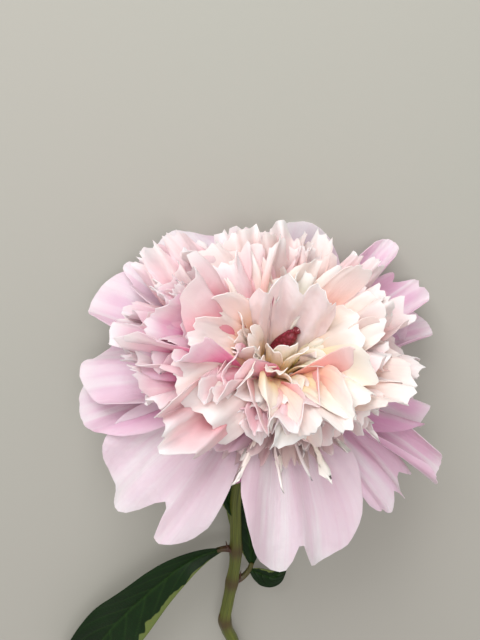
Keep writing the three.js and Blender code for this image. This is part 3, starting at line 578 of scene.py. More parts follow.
# The collar's own dusky beige pink, painted darker with the shade that falls under the dome on the collar
# rings and the dome's outer ring.
shaded_collar_tissue = petal_tissue(
    "collar petal tissue with painted shade",
    [(0.0, "#7e5846"), (0.25, "#9c7c6f"), (0.6, "#b3988d"), (0.9, "#cdb8ae"), (1.0, "#e8dcd4")],
    [(0.0, "#784844"), (0.25, "#966a70"), (0.6, "#b1888f"), (0.9, "#ccadb2"), (1.0, "#e8d5d7")],
    "#ccb9b1", 0.4, 0.6)
hood_tissue = petal_tissue(
    "hood petal tissue",
    [(0.0, "#d9a860"), (0.22, "#f2cfb0"), (0.5, "#f4dcd8"), (0.85, "#f9e9e8"), (1.0, "#fffbfa")],
    [(0.0, "#d0906c"), (0.22, "#efbfb4"), (0.5, "#f0cdd2"), (0.85, "#f8e2e6"), (1.0, "#fffafa")],
    "#f2e6e8", 0.7, 0.9)
STREAK_COLOURS = [(0.0, "#f0c8a0"), (0.7, "#f6d8dc"), (0.8, "#b8245e"), (0.94, "#8c1548"), (1.0, "#f8e4ea")]
streaked_tissue = petal_tissue(
    "magenta streaked tissue", STREAK_COLOURS, STREAK_COLOURS, "#d04a80", 0.3, 0.05)

# The rings, from the collar at the back of the dome to the heart, then three short arcs of longer petals
# that fill the dome out on its left.
RING_FORM = {
    "Columns": 33, "Rows": 23, "Wildness": 1.0, "Claw": 0.3, "Roundness": 0.22, "Cleft": 0.1,
    "Cleft width": 0.1, "Teeth": 0.05, "Tooth count": 4.5, "Cup base": 0.9, "Cup tip": 0.5, "Fold": 1.4,
    "Fold count": 2.6, "Ruffle": 4.4, "Ruffle count": 4.2, "Curl": -3.0, "Crumple": 2.0, "Raggedness": 0.2,
    "Flush": 0.9,
}
COLLAR_FORM = {
    "Wildness": 0.55, "Teeth": 0.3, "Tooth count": 3.2, "Cup base": 0.6, "Cup tip": 0.4, "Ruffle": 0.8,
    "Curl": -2.0, "Crumple": 1.0,
}
INNER_RINGS = {
    "collar_petals": {
        **COLLAR_FORM, "Count": 12, "Azimuth": 10.0, "Lean base": 88.0, "Lean tip": 114.0, "Rise": 40.0,
        "Droop": 26.0, "Length": 34.0, "Width": 13.0, "Base radius": 6.0, "Base height": 0.0,
        "Raggedness": 0.08,
    },
    "collar_petals_inner": {
        **COLLAR_FORM, "Count": 12, "Azimuth": 3.0, "Lean base": 80.0, "Lean tip": 102.0, "Rise": 32.0,
        "Droop": 24.0, "Length": 38.0, "Width": 16.0, "Base radius": 6.0, "Base height": 0.6,
        "Raggedness": 0.1,
    },
    "dome_petals_outer": {
        "Count": 12, "Azimuth": 3.0, "Lean base": 72.0, "Lean tip": 90.0, "Rise": 24.0, "Droop": 14.0,
        "Shortening": 0.22, "Narrowing": 0.14, "Length": 46.0, "Width": 20.0, "Base radius": 6.0,
        "Base height": 1.0, "Fold": 0.8, "Ruffle": 2.2, "Raggedness": 0.22, "Tone": 0.8,
    },
    "dome_petals_low": {
        "Count": 12, "Azimuth": 17.0, "Lean base": 57.0, "Lean tip": 74.0, "Rise": 10.0, "Droop": 6.0,
        "Shortening": 0.4, "Narrowing": 0.13, "Length": 59.0, "Width": 32.0, "Base radius": 5.0,
        "Base height": 1.5, "Raggedness": 0.22, "Tone": 0.75,
    },
    "dome_petals_low_narrow": {
        "Count": 13, "Azimuth": 2.0, "Lean base": 52.0, "Lean tip": 68.0, "Rise": 6.0, "Droop": 8.0,
        "Shortening": 0.4, "Narrowing": 0.12, "Length": 60.0, "Width": 14.0, "Base radius": 4.5,
        "Base height": 1.8, "Raggedness": 0.24, "Tone": 0.6,
    },
    "dome_petals_middle": {
        "Count": 11, "Azimuth": 5.0, "Lean base": 46.0, "Lean tip": 62.0, "Rise": 4.0, "Droop": 18.0,
        "Shortening": 0.32, "Narrowing": 0.12, "Length": 62.0, "Width": 32.0, "Base radius": 4.0,
        "Base height": 2.0, "Raggedness": 0.2, "Tone": 0.5,
    },
    "dome_petals_middle_narrow": {
        "Count": 13, "Azimuth": 20.0, "Lean base": 41.0, "Lean tip": 57.0, "Droop": 24.0,
        "Shortening": 0.32, "Narrowing": 0.12, "Length": 61.0, "Width": 14.0, "Base radius": 4.0,
        "Base height": 2.2, "Tone": 0.5,
    },
    "dome_petals_high": {
        "Count": 10, "Azimuth": 12.0, "Lean base": 35.0, "Lean tip": 52.0, "Droop": 36.0, "Shortening": 0.2,
        "Narrowing": 0.05, "Length": 57.0, "Width": 31.0, "Base radius": 3.5, "Base height": 2.5,
        "Tone": 0.3,
    },
    "heart_petals_outer": {
        "Count": 11, "Azimuth": 0.0, "Lean base": 28.0, "Lean tip": 44.0, "Droop": 50.0, "Length": 46.0,
        "Width": 27.0, "Base radius": 4.0, "Base height": 3.0, "Tone": 0.3,
    },
    "heart_petals": {
        "Count": 12, "Azimuth": 20.0, "Lean base": 20.0, "Lean tip": 36.0, "Droop": 56.0, "Length": 34.0,
        "Width": 18.0, "Base radius": 5.0, "Base height": 3.0, "Tone": 0.2,
    },
    "heart_petals_short": {
        "Count": 9, "Azimuth": 20.0, "Wildness": 0.7, "Lean base": 8.0, "Lean tip": 32.0, "Droop": 25.0,
        "Length": 28.0, "Width": 12.0, "Base radius": 6.0, "Base height": 3.0, "Cup tip": 0.8, "Fold": 0.4,
        "Ruffle": 0.8, "Crumple": 0.5, "Raggedness": 0.06, "Tone": 0.0,
    },
    "side_petals": {
        "Count": 6, "Azimuth": 148.0, "Arc": 76.0, "Lean base": 58.0, "Lean tip": 80.0, "Length": 68.0,
        "Width": 25.0, "Base radius": 5.0, "Base height": 1.5, "Tone": 1.1,
    },
    "side_petals_upper": {
        "Count": 5, "Azimuth": 155.0, "Arc": 70.0, "Lean base": 50.0, "Lean tip": 72.0, "Length": 62.0,
        "Width": 22.0, "Base radius": 5.0, "Base height": 2.0, "Tone": 0.9,
    },
    "side_petals_lower": {
        "Count": 4, "Azimuth": 196.0, "Arc": 48.0, "Lean base": 68.0, "Lean tip": 92.0, "Length": 61.0,
        "Width": 24.0, "Base radius": 5.0, "Base height": 1.0, "Tone": 0.6,
    },
}
# The collar rings and the dome's outer ring wear the collar tissue, with its painted shade.
RING_TISSUES = {
    "collar_petals": shaded_collar_tissue, "collar_petals_inner": shaded_collar_tissue, "dome_petals_outer": shaded_collar_tissue,
    "heart_petals_outer": heart_tissue, "heart_petals": heart_tissue, "heart_petals_short": heart_tissue,
}
for i, (name, ring) in enumerate(INNER_RINGS.items()):
    tissue = RING_TISSUES.get(name, inner_tissue)
    petals(name, {**RING_FORM, **ring, "Seed": i + 1}, tissue, "inner_petals")

# Single inner petals with a look of their own: the greyish pink hood behind the carpels, the broad peach
# one on the right, the deep pink one on the left, the frilled white lip below, three short ones in front
# of the carpels, and a narrow one with a magenta tip.
SINGLE_FORM = {"Crumple": 1.6, "Raggedness": 0.25, "Fold": 1.3}
SHORT_FORM = {
    "Base radius": 6.0, "Base height": 3.0, "Claw": 0.3, "Roundness": 0.25, "Teeth": 0.14, "Cup base": 0.9,
    "Cup tip": 0.9, "Fold": 0.3, "Curl": -2.0, "Crumple": 0.35, "Raggedness": 0.03, "Tone": 0.0,
}
INNER_SINGLES = {
    "hood_petal": {
        "Azimuth": 95.0, "Lean base": 8.0, "Lean tip": 17.0, "Length": 46.0, "Width": 36.0,
        "Base radius": 4.6, "Base height": 3.0, "Claw": 0.35, "Roundness": 0.25, "Cleft": 0.05,
        "Cleft at": -0.05, "Cleft width": 0.1, "Teeth": 0.04, "Cup base": 0.8, "Cup tip": 0.5, "Fold": 1.8,
        "Fold count": 3.0, "Curl": 3.0, "Crumple": 3.0, "Raggedness": 0.3, "Tone": 0.5,
    },
    "peach_petal": {
        "Azimuth": -13.0, "Lean base": 48.0, "Lean tip": 70.0, "Length": 58.0, "Width": 34.0,
        "Base height": 2.0, "Claw": 0.3, "Roundness": 0.4, "Cup tip": 0.5, "Tone": 0.0,
    },
    "deep_pink_petal": {
        "Azimuth": 203.0, "Lean base": 60.0, "Lean tip": 80.0, "Length": 60.0, "Width": 40.0,
        "Base height": 2.0, "Claw": 0.3, "Roundness": 0.4, "Cup base": 0.9, "Cup tip": 1.1, "Tone": 1.25,
    },
    "lip_petal": {
        "Azimuth": -67.0, "Lean base": 46.0, "Lean tip": 60.0, "Length": 42.0, "Width": 26.0,
        "Base height": 2.0, "Claw": 0.3, "Roundness": 0.3, "Teeth": 0.05, "Tooth count": 6.0,
        "Cup base": 0.9, "Cup tip": -0.4, "Ruffle": 1.5, "Curl": -3.0, "Tone": 0.0,
    },
    "short_petal_left": {
        **SHORT_FORM, "Azimuth": -118.0, "Lean base": -6.0, "Lean tip": 12.0, "Length": 26.0, "Width": 10.0,
        "Tooth count": 2.5,
    },
    "short_petal_middle": {
        **SHORT_FORM, "Azimuth": -78.0, "Lean base": -8.0, "Lean tip": 6.0, "Length": 29.5, "Width": 12.0,
        "Tooth count": 3.0, "Twist": 20.0,
    },
    "short_petal_right": {
        **SHORT_FORM, "Azimuth": -36.0, "Lean base": -4.0, "Lean tip": 15.0, "Length": 28.0, "Width": 10.0,
        "Tooth count": 2.2,
    },
    "streaked_petal": {
        "Azimuth": 141.0, "Lean base": 12.0, "Lean tip": 16.0, "Length": 42.0, "Width": 2.4,
        "Base radius": 5.0, "Base height": 3.0, "Claw": 0.8, "Cup base": 1.5, "Cup tip": 1.5,
        "Crumple": 0.8,
    },
}
SINGLE_TISSUES = {
    "hood_petal": hood_tissue, "short_petal_left": heart_tissue, "short_petal_middle": heart_tissue,
    "short_petal_right": heart_tissue, "streaked_petal": streaked_tissue,
}
SINGLES_SEED = 20
for i, (name, form) in enumerate(INNER_SINGLES.items()):
    tissue = SINGLE_TISSUES.get(name, inner_tissue)
    petals(name, {**SINGLE_FORM, **form, "Seed": SINGLES_SEED + i}, tissue, "inner_petals")

# The stamens that did not turn into petals: pale flattened threads between the petals, which curl over
# the collar and show in the heart.
THREAD_FORM = {
    "Columns": 5, "Rows": 25, "Wildness": 1.2, "Width": 1.0, "Claw": 0.9, "Roundness": 0.3, "Cup base": 0.6,
    "Cup tip": 0.6, "Raggedness": 0.0,
}
THREADS = {
    "collar_threads": {
        "Count": 40, "Lean base": 80.0, "Lean tip": 104.0, "Rise": 36.0, "Length": 40.0, "Base radius": 6.0,
        "Curl": -7.0, "Crumple": 3.0,
    },
    "heart_threads": {
        "Count": 5, "Lean base": 10.0, "Lean tip": 46.0, "Length": 24.0, "Base radius": 5.6,
        "Base height": 3.0, "Crumple": 2.0,
    },
}
THREADS_SEED = 40
thread_tissue = petal_tissue(
    "filament tissue",
    [(0.0, "#c89a52"), (0.3, "#f6dcae"), (0.7, "#fdf1e2"), (1.0, "#fffdf8")],
    [(0.0, "#c08f6a"), (0.3, "#e6c0b4"), (0.7, "#f3dfe0"), (1.0, "#fdf5f4")],
    "#fbf4ec", 0.3, 0.02)
# A thread is thinner than the depth that light scatters to in a petal, and would lose its colour.
thread_tissue.node_tree.nodes["Principled BSDF"].inputs["Subsurface Weight"].default_value = 0.0
for i, (name, ring) in enumerate(THREADS.items()):
    petals(name, {**THREAD_FORM, **ring, "Seed": THREADS_SEED + i}, thread_tissue, "inner_petals")

# The receptacle, the swollen end of the stem that carries every petal, and the short fleshy seat in its
# middle that the seed vessels stand on. Both are turned bodies, hidden until a petal falls.
RECEPTACLE = [(0.1, 0.4), (6.6, 0), (7.2, -2.2), (6.2, -6), (3.4, -11), (2.6, -15), (0.1, -15)]
CARPEL_SEAT = [(0.1, -0.5), (6.2, 0.2), (6.0, 3.5), (5.0, 8.0), (4.6, 9.6), (0.1, 10.4)]
TURNED_SIDES = 48
PROFILE_STEPS = 6
LEAST_RADIUS = 0.05
GROOVE_WIDTH = 0.3
LEAST_STEP = 1e-4
bloom_place = Matrix.Translation(BLOOM_AT * MM) @ bloom_turn.to_4x4() @ Matrix.Scale(MM, 4)


def smooth_line(points, steps):
    """Points on a centripetal curve through the given ones, with so many steps between two of them."""
    given = [Vector(point) for point in points]
    given = [2 * given[0] - given[1], *given, 2 * given[-1] - given[-2]]
    line = []
    for a, b, c, d in zip(given, given[1:], given[2:], given[3:]):
        steps_apart = [max((q - p).length, LEAST_STEP) for p, q in ((a, b), (b, c), (c, d))]
        before, here, after = [math.sqrt(step) for step in steps_apart]
        leave = ((b - a) / before - (c - a) / (before + here) + (c - b) / here) * here
        arrive = ((c - b) / here - (d - b) / (here + after) + (d - c) / after) * here
        for k in range(steps):
            t = k / steps
            bend = (-3 * b + 3 * c - 2 * leave - arrive) * t ** 2 + (2 * b - 2 * c + leave + arrive) * t ** 3
            line.append(b + leave * t + bend)
    return [*line, given[-2]]


def turned(name, profile, sides, place, groove=0.0):
    """A closed body turned from a smoothed profile of radii and heights. A groove runs up one side."""
    outline = smooth_line([(radius, 0, height) for radius, height in profile], PROFILE_STEPS)
    points, faces = [], []
    for ring, spot in enumerate(outline):
        for k in range(sides):
            angle = 2 * math.pi * k / sides
            sunk = 1 - groove * math.exp(-((angle - math.pi) / GROOVE_WIDTH) ** 2)
            reach = max(spot.x, LEAST_RADIUS) * sunk
            points.append(place @ Vector((reach * math.cos(angle), reach * math.sin(angle), spot.z)))
            if ring:
                low, high = (ring - 1) * sides, ring * sides
                following = (k + 1) % sides
                faces.append((low + k, low + following, high + following, high + k))
    faces.append(tuple(reversed(range(sides))))
    faces.append(tuple(range(len(points) - sides, len(points))))
    mesh = bpy.data.meshes.new(name)
    mesh.from_pydata(points, [], faces)
    mesh.shade_smooth()
    if profile[0][1] > profile[-1][1]:
        mesh.flip_normals()
    piece = bpy.data.objects.new(name, mesh)
    bpy.context.collection.objects.link(piece)
    return piece


# Fleshy green tissue: matt, soft, mottled in patches of about 3 mm.
flesh, nodes, skin = new_material("fleshy receptacle")
spot = add(nodes, "ShaderNodeTexCoord").outputs["Object"]
mottle = add(nodes, "ShaderNodeTexNoise", {"Vector": spot, "Scale": 0.35 / MM, "Detail": 3.0})
tint = {"Factor": mottle, "A": colour("#8d9a55"), "B": colour("#c3b272")}
tint = add(nodes, "ShaderNodeMix", tint, data_type="RGBA")
relief = add(nodes, "ShaderNodeBump", {"Strength": 0.3, "Distance": 0.4 * MM, "Height": mottle})
fill(nodes, skin, {
    "Base Color": tint, "Normal": relief, "Roughness": 0.6, "Subsurface Weight": 0.2,
    "Subsurface Scale": 2 * MM,
})
for name, profile, node, slot in (
        ("receptacle", RECEPTACLE, "stem", "stem"),
        ("carpel_seat", CARPEL_SEAT, "inner_petals", "inner_petal")):
    body = turned(name, profile, TURNED_SIDES, bloom_place)
    body.data.materials.append(flesh)
    hand_over(body, node)

# The three carpels, the flask-shaped seed vessels in the heart: smooth, dark red and softly shiny, each
# with a seam up its inner side and a pale curled crest, the stigma, at its tip.
CARPEL = [(0.02, 0), (0.6, 0), (0.95, 0.3), (1, 0.55), (0.8, 0.75), (0.45, 0.9), (0.5, 0.97), (0.02, 1)]
CARPELS = [
    {"at": (-3.4, 4.0), "azimuth": 25, "tilt": 27, "radius": 3.5, "length": 18},
    {"at": (3.4, -0.6), "azimuth": -20, "tilt": 4, "radius": 2.5, "length": 8},
    {"at": (-1.6, -3.6), "azimuth": 240, "tilt": 4, "radius": 2.5, "length": 8},
]
CARPEL_BASE = 9.4
CARPEL_SIDES = 40
CARPEL_SEAM = 0.16
STIGMA_FORM = {
    "Lean base": -35.0, "Lean tip": 190.0, "Length": 2.8, "Width": 1.8, "Claw": 0.5, "Ruffle": 0.5,
    "Ruffle count": 4.0, "Crumple": 0.2, "Columns": 15, "Rows": 21,
}
STIGMA_DEPTH = 1.5  # how far down the vessel's neck it starts
STIGMA_INSET = 0.8
STIGMAS_SEED = 60

# Smooth living skin, coloured through: deep red with paler flecks of about 1 mm and a wet-looking shine.
carpel_skin, nodes, skin = new_material("carpel skin")
spot = add(nodes, "ShaderNodeTexCoord").outputs["Object"]
fleck = add(nodes, "ShaderNodeTexNoise", {"Vector": spot, "Scale": 0.9 / MM, "Detail": 3.0})
share = add(nodes, "ShaderNodeMapRange", {"Value": fleck, "From Min": 0.45, "From Max": 0.75})
tint = {"Factor": share, "A": colour("#6c101f"), "B": colour("#a23a50")}
tint = add(nodes, "ShaderNodeMix", tint, data_type="RGBA")
relief = add(nodes, "ShaderNodeBump", {"Strength": 0.2, "Distance": 0.3 * MM, "Height": fleck})
fill(nodes, skin, {
    "Base Color": tint, "Normal": relief, "Roughness": 0.38, "Subsurface Weight": 0.15,
    "Subsurface Scale": 1 * MM,
})
stigma_tissue = petal_tissue(
    "stigma tissue",
    [(0.0, "#a8283c"), (0.5, "#d77f8f"), (1.0, "#f4dcd6")],
    [(0.0, "#a8283c"), (0.5, "#e0a0a4"), (1.0, "#f7e6dc")],
    "#f4dcd6", 0.3, 0.02)
for i, carpel in enumerate(CARPELS):
    node = f"carpel_{i + 1}"
    tilt = math.radians(carpel["tilt"])
    azimuth = math.radians(carpel["azimuth"])
    lean = Matrix.Rotation(azimuth, 4, "Z") @ Matrix.Rotation(tilt, 4, "Y")
    stand = Matrix.Translation((*carpel["at"], CARPEL_BASE)) @ lean
    profile = [(radius * carpel["radius"], height * carpel["length"]) for radius, height in CARPEL]
    vessel = turned(f"{node}_vessel", profile, CARPEL_SIDES, bloom_place @ stand, CARPEL_SEAM)
    vessel.data.materials.append(carpel_skin)
    hand_over(vessel, node)
    top = stand @ Vector((0, 0, carpel["length"] - STIGMA_DEPTH))
    form = {
        **STIGMA_FORM, "Azimuth": math.degrees(math.atan2(top.y, top.x)),
        "Base radius": top.xy.length - STIGMA_INSET, "Base height": top.z, "Seed": STIGMAS_SEED + i,
    }
    petals(f"{node}_stigma", form, stigma_tissue, node)

# The calyx: five leathery green sepals, edged with red, that grow from a fleshy ring under the petals and
# are bent back along the stem.
CALYX_RING = [(0.1, -4.6), (8, -4.8), (7.4, -8.4), (4.4, -11.4), (0.1, -11.6)]
SEPALS = {
    "Count": 5, "Azimuth": 21.6, "Lean base": 110.0, "Lean tip": 140.0, "Length": 24.0, "Width": 15.0,
    "Base radius": 5.6, "Base height": -6.4, "Claw": 0.6, "Cup base": 0.5, "Cup tip": 0.5, "Wildness": 0.12,
    "Seed": 9, "Crumple": 0.4,
}
sepal_tissue = petal_tissue(
    "sepal tissue",
    [(0.0, "#5b6a2a"), (0.6, "#4a5a22"), (1.0, "#6d4a34")],
    [(0.0, "#6a7434"), (0.6, "#5d5f2a"), (1.0, "#84503f")],
    "#76804a", 0.5, 1.0)
ring = turned("calyx_ring", CALYX_RING, TURNED_SIDES, bloom_place)
ring.data.materials.append(sepal_tissue)
hand_over(ring, "calyx")
petals("sepals", SEPALS, sepal_tissue, "calyx")

# The stem: a juicy green stalk with five soft ridges, swollen at each joint where a leaf stalk leaves it,
# with the dry stub of a side bud low on its left. The leaf stalks are made in the same way.
STEM_LINE = [
    (-21.1, -58, 38.9), (-24.9, -74, 29.3), (-30, -95, 23.6), (-33.6, -116, 20.8), (-33.8, -134, 18.6),
    (-33.9, -150, 16.6), (-35.1, -161, 15.2), (-38.1, -179, 13), (-39.4, -188, 11.9), (-38.2, -195, 11),
    (-35.4, -202, 10.2), (-33, -219, 8.5), (-35, -249, 5.7), (-40, -281, 3.2),
]
JOINTS = {
    "Left joint": (-34.5, -145.4, 17.1), "Right joint": (-34.6, -164.6, 14.6), "Bud joint": (-40.0, -189, 12),
}
STALK_FORM = {
    "Sides": 50, "Rings": 24, "Start radius": 1.0, "End radius": 1.0, "Ridges": 5, "Ridge height": 0.05,
    "Swelling": 0.0, "Swelling width": 4.0, "Unevenness": 0.25, "Redness": 0.3,
}
LUMPS = {"Scale": 0.3, "Detail": 2.0}  # about 3 mm long
LINE_STEPS = 8
JOINT_REDNESS = 0.75

stalk_tree, size = new_tree("stalk", {**STALK_FORM, **JOINTS}, "Stalk", "Line")
share = add(stalk_tree, "GeometryNodeSplineParameter").outputs["Factor"]
here = add(stalk_tree, "GeometryNodeInputPosition").outputs["Position"]

# The line, with its radius, and how near each point is to a joint.
line = add(stalk_tree, "GeometryNodeResampleCurve", {"Curve": size["Line"], "Count": size["Rings"]})
near = 0
for label in JOINTS:
    away = add(stalk_tree, "ShaderNodeVectorMath", (here, size[label]), operation="DISTANCE")
    away = add(stalk_tree, MATH, (away.outputs["Value"], size["Swelling width"]), operation="DIVIDE")
    near = add(stalk_tree, MATH, (near, bell(stalk_tree, away)), operation="ADD")
width = {"Value": share, "To Min": size["Start radius"], "To Max": size["End radius"]}
width = add(stalk_tree, "ShaderNodeMapRange", width)
width = add(stalk_tree, MATH, (near, size["Swelling"], width), operation="MULTIPLY_ADD")
line = add(stalk_tree, "GeometryNodeSetCurveRadius", {"Curve": line, "Radius": width})
line = marked(stalk_tree, line, {"along": share, "near joint": near})

# The cross-section, a circle with ridges, swept along the line and made a little uneven.
circle = add(stalk_tree, "GeometryNodeCurvePrimitiveCircle", {"Resolution": size["Sides"], "Radius": 1.0})
circle = marked(stalk_tree, circle, {"around": share})
ridge = add(stalk_tree, MATH, (share, size["Ridges"]), operation="MULTIPLY")
ridge = add(stalk_tree, MATH, (ridge, 2 * math.pi), operation="MULTIPLY")
ridge = add(stalk_tree, MATH, (ridge,), operation="COSINE")
ridge = add(stalk_tree, MATH, (ridge, size["Ridge height"], 1), operation="MULTIPLY_ADD")
ridged = add(stalk_tree, "ShaderNodeVectorMath", {"Vector": here, "Scale": ridge}, operation="SCALE")
circle = add(stalk_tree, "GeometryNodeSetPosition", {"Geometry": circle, "Position": ridged})
swept = {"Curve": line, "Profile Curve": circle, "Scale": width, "Fill Caps": True}
tube = add(stalk_tree, "GeometryNodeCurveToMesh", swept)
lumps = add(stalk_tree, "ShaderNodeTexNoise", {"Vector": here, **LUMPS})
lumps = add(stalk_tree, MATH, (lumps, 0.5), operation="SUBTRACT")
lumps = add(stalk_tree, MATH, (lumps, size["Unevenness"]), operation="MULTIPLY")
outwards = add(stalk_tree, "GeometryNodeInputNormal")
lumps = add(stalk_tree, "ShaderNodeVectorMath", {"Vector": outwards, "Scale": lumps}, operation="SCALE")
tube = add(stalk_tree, "GeometryNodeSetPosition", {"Geometry": tube, "Offset": lumps})
tube = marked(stalk_tree, tube, {"redness": size["Redness"]})
tube = add(stalk_tree, "GeometryNodeTransform", {"Geometry": tube, "Scale": (MM, MM, MM)})
tube = add(stalk_tree, "GeometryNodeSetShadeSmooth", {"Geometry": tube})
finished(stalk_tree, tube, size["Material"])


def grown_along(name, line, tree, sizes):
    """A piece that a tree grows along a smooth line through points in millimetres."""
    curve = bpy.data.curves.new(name, "CURVE")
    curve.dimensions = "3D"
    points = smooth_line(line, LINE_STEPS)
    spline = curve.splines.new("POLY")
    spline.points.add(len(points) - 1)
    for place, point in zip(spline.points, points):
        place.co = (*point, 1)
    return grown(name, curve, tree, sizes)


# Green stalk skin: smooth cuticle over ribs of fibre, satin, with streaks about 0.5 mm apart that run
# along it, and red where a leaf joins.
stalk_skin, nodes, skin = new_material("green stalk skin")
along, around, near, redness = [
    add(nodes, "ShaderNodeAttribute", attribute_name=mark).outputs["Fac"]
    for mark in ("along", "around", "near joint", "redness")]
turn = add(nodes, MATH, (around, 2 * math.pi), operation="MULTIPLY")
turn_x, turn_y = [add(nodes, MATH, (turn,), operation=ratio) for ratio in ("COSINE", "SINE")]
fibre_at = add(nodes, "ShaderNodeCombineXYZ", (turn_x, turn_y, along))
fibre_at = add(nodes, "ShaderNodeVectorMath", (fibre_at, (6.0, 6.0, 9.0)), operation="MULTIPLY")
fibre = {"Vector": fibre_at, "Scale": 1.0, "Detail": 4.0, "Roughness": 0.6}
fibre = add(nodes, "ShaderNodeTexNoise", fibre)
green = add(nodes, "ShaderNodeValToRGB", {"Fac": fibre})
for stop, (at, code) in zip(green.color_ramp.elements, ((0.3, "#434b14"), (0.72, "#737a2c"))):
    stop.position = at
    stop.color = colour(code)
share = add(nodes, MATH, (near, JOINT_REDNESS, redness), operation="MULTIPLY_ADD", use_clamp=True)
tint = add(nodes, "ShaderNodeMix", {"Factor": share, "A": green, "B": colour("#4a2a1c")}, data_type="RGBA")
relief = add(nodes, "ShaderNodeBump", {"Strength": 0.4, "Distance": 0.3 * MM, "Height": fibre})
fill(nodes, skin, {
    "Base Color": tint, "Normal": relief, "Roughness": 0.42, "Subsurface Weight": 0.1,
    "Subsurface Scale": 1 * MM,
})

# Each stalk's points, the node that it belongs to, its slot and its sizes.
STALKS = {
    "stem_stalk": (STEM_LINE, "stem", "stem", {
        "Rings": 150, "Start radius": 2.5, "End radius": 3.1, "Ridge height": 0.06, "Swelling": 0.55,
        "Redness": 0.0,
    }),
    "stem_bud_stub": (
        [(-39.6, -188.6, 12.0), (-41.2, -188.3, 12.3), (-42.3, -187.2, 12.8)], "stem", "stem",
        {"Start radius": 1.6, "End radius": 0.5, "Redness": 0.8}),
    "stem_bud_scale": (
        [(-40.6, -187.8, 12.4), (-42.0, -186.0, 12.9), (-42.3, -184.2, 13.2)], "stem", "stem",
        {"Start radius": 0.8, "End radius": 0.15, "Redness": 1.0}),
    "leaf_left_stalk": (
        [(-35, -145.4, 17.1), (-38.5, -144.8, 17.6), (-43, -144.8, 19)], "leaf_left", "leaf",
        {"Start radius": 1.7, "End radius": 1.2, "Swelling": 0.3, "Redness": 0.75}),
    "leaf_left_spur": (
        [(-36.4, -145.0, 18.4), (-38.0, -142.6, 19.4), (-38.6, -139.6, 19.9)], "leaf_left", "leaf",
        {"Start radius": 0.7, "End radius": 0.12, "Redness": 0.9}),
    "leaf_right_stalk": (
        [(-34.4, -164.6, 14.4), (-30.5, -162.8, 13.6), (-27.4, -159, 13.2), (-26, -155, 13.5)],
        "leaf_right", "leaf",
        {"Start radius": 1.7, "End radius": 1.1, "Swelling": 0.3, "Redness": 0.45}),
    "leaf_right_spur": (
        [(-32.2, -163.0, 14.8), (-31.8, -160.4, 15.6), (-31.4, -157.8, 15.9)], "leaf_right", "leaf",
        {"Start radius": 0.7, "End radius": 0.12, "Redness": 0.9}),
}
for name, (line, node, slot, form) in STALKS.items():
    sizes = {**STALK_FORM, **JOINTS, **form, "Material": stalk_skin}
    hand_over(grown_along(name, line, stalk_tree, sizes), node)

# The cut end of the stem: a clean slice through wet, pale pith inside a darker rim.
CUT = [(0.02, 0.0), (2.2, 0.05), (2.75, 0.0), (2.6, -0.5), (0.02, -0.6)]
cut_at = Vector(STEM_LINE[-1])
cut_turn = (cut_at - Vector(STEM_LINE[-2])).to_track_quat("Z", "Y").to_matrix().to_4x4()
cut_place = Matrix.Translation(cut_at * MM) @ cut_turn @ Matrix.Scale(MM, 4)
cut_face = turned("stem_cut", CUT, STALK_FORM["Sides"], cut_place)
pith, nodes, skin = new_material("freshly cut pith")
spot = add(nodes, "ShaderNodeTexCoord").outputs["Object"]
cells = add(nodes, "ShaderNodeTexVoronoi", {"Vector": spot, "Scale": 2.5 / MM})
tint = {"Factor": cells, "A": colour("#b9c489"), "B": colour("#93a25c")}
tint = add(nodes, "ShaderNodeMix", tint, data_type="RGBA")
fill(nodes, skin, {"Base Color": tint, "Roughness": 0.35})
cut_face.data.materials.append(pith)
hand_over(cut_face, "stem")

# The leaves: dark, waxy blades folded a little along the midrib, with a waved rim. Their side veins are
# sunk in the upper face, which puffs up between them, and the underside is pale and dull.
LEAF_FORM = {
    "Columns": 41, "Rows": 150, "Half width": 8.0, "Base half width": 0.9, "Widest": 0.5, "Fold": 0.3,
    "Wave": 0.5, "Wave count": 1.0, "Vein count": 9.0, "Vein depth": 0.5, "Midrib depth": 0.45,
}
LEAF_FULLNESS = 0.9  # the lower, the longer a blade stays near its widest
VEIN_BOW = 1.9  # how many veins a side vein passes on its way to the rim
VEIN_BOW_START = 1.4
VEIN_OFFSET = 0.4  # between the two sides, in veins
VEIN_FINENESS = 25.0
MIDRIB_FINENESS = 1.6
SIDE_VEIN_TINT = 0.7  # of the midrib's
PUFF_FULLNESS = 0.6
VEIN_TINT_SHARE = 0.55
ROLL_WAVER = 0.9  # how much the rolled strip's width varies along the blade
ROLL_EDGE = {"From Min": -0.36, "From Max": -0.4}

leaf_tree, size = new_tree("leaf blade", LEAF_FORM, "Blade", "Midrib")
sheet_sizes = {"Size X": 2.0, "Size Y": 1.0, "Vertices X": size["Columns"], "Vertices Y": size["Rows"]}
blade = add(leaf_tree, "GeometryNodeMeshGrid", sheet_sizes)
spot = add(leaf_tree, "ShaderNodeSeparateXYZ", (add(leaf_tree, "GeometryNodeInputPosition"),))
across = spot.outputs["X"]
along = add(leaf_tree, MATH, (spot.outputs["Y"], 0.5), operation="ADD")
rib = add(leaf_tree, "GeometryNodeSampleCurve", {"Curves": size["Midrib"], "Factor": along}, mode="FACTOR")
side = add(leaf_tree, "ShaderNodeVectorMath", (rib.outputs["Tangent"], (0, 0, 1)), operation="CROSS_PRODUCT")
side = add(leaf_tree, "ShaderNodeVectorMath", (side,), operation="NORMALIZE")
over = add(leaf_tree, "ShaderNodeVectorMath", (side, rib.outputs["Tangent"]), operation="CROSS_PRODUCT")

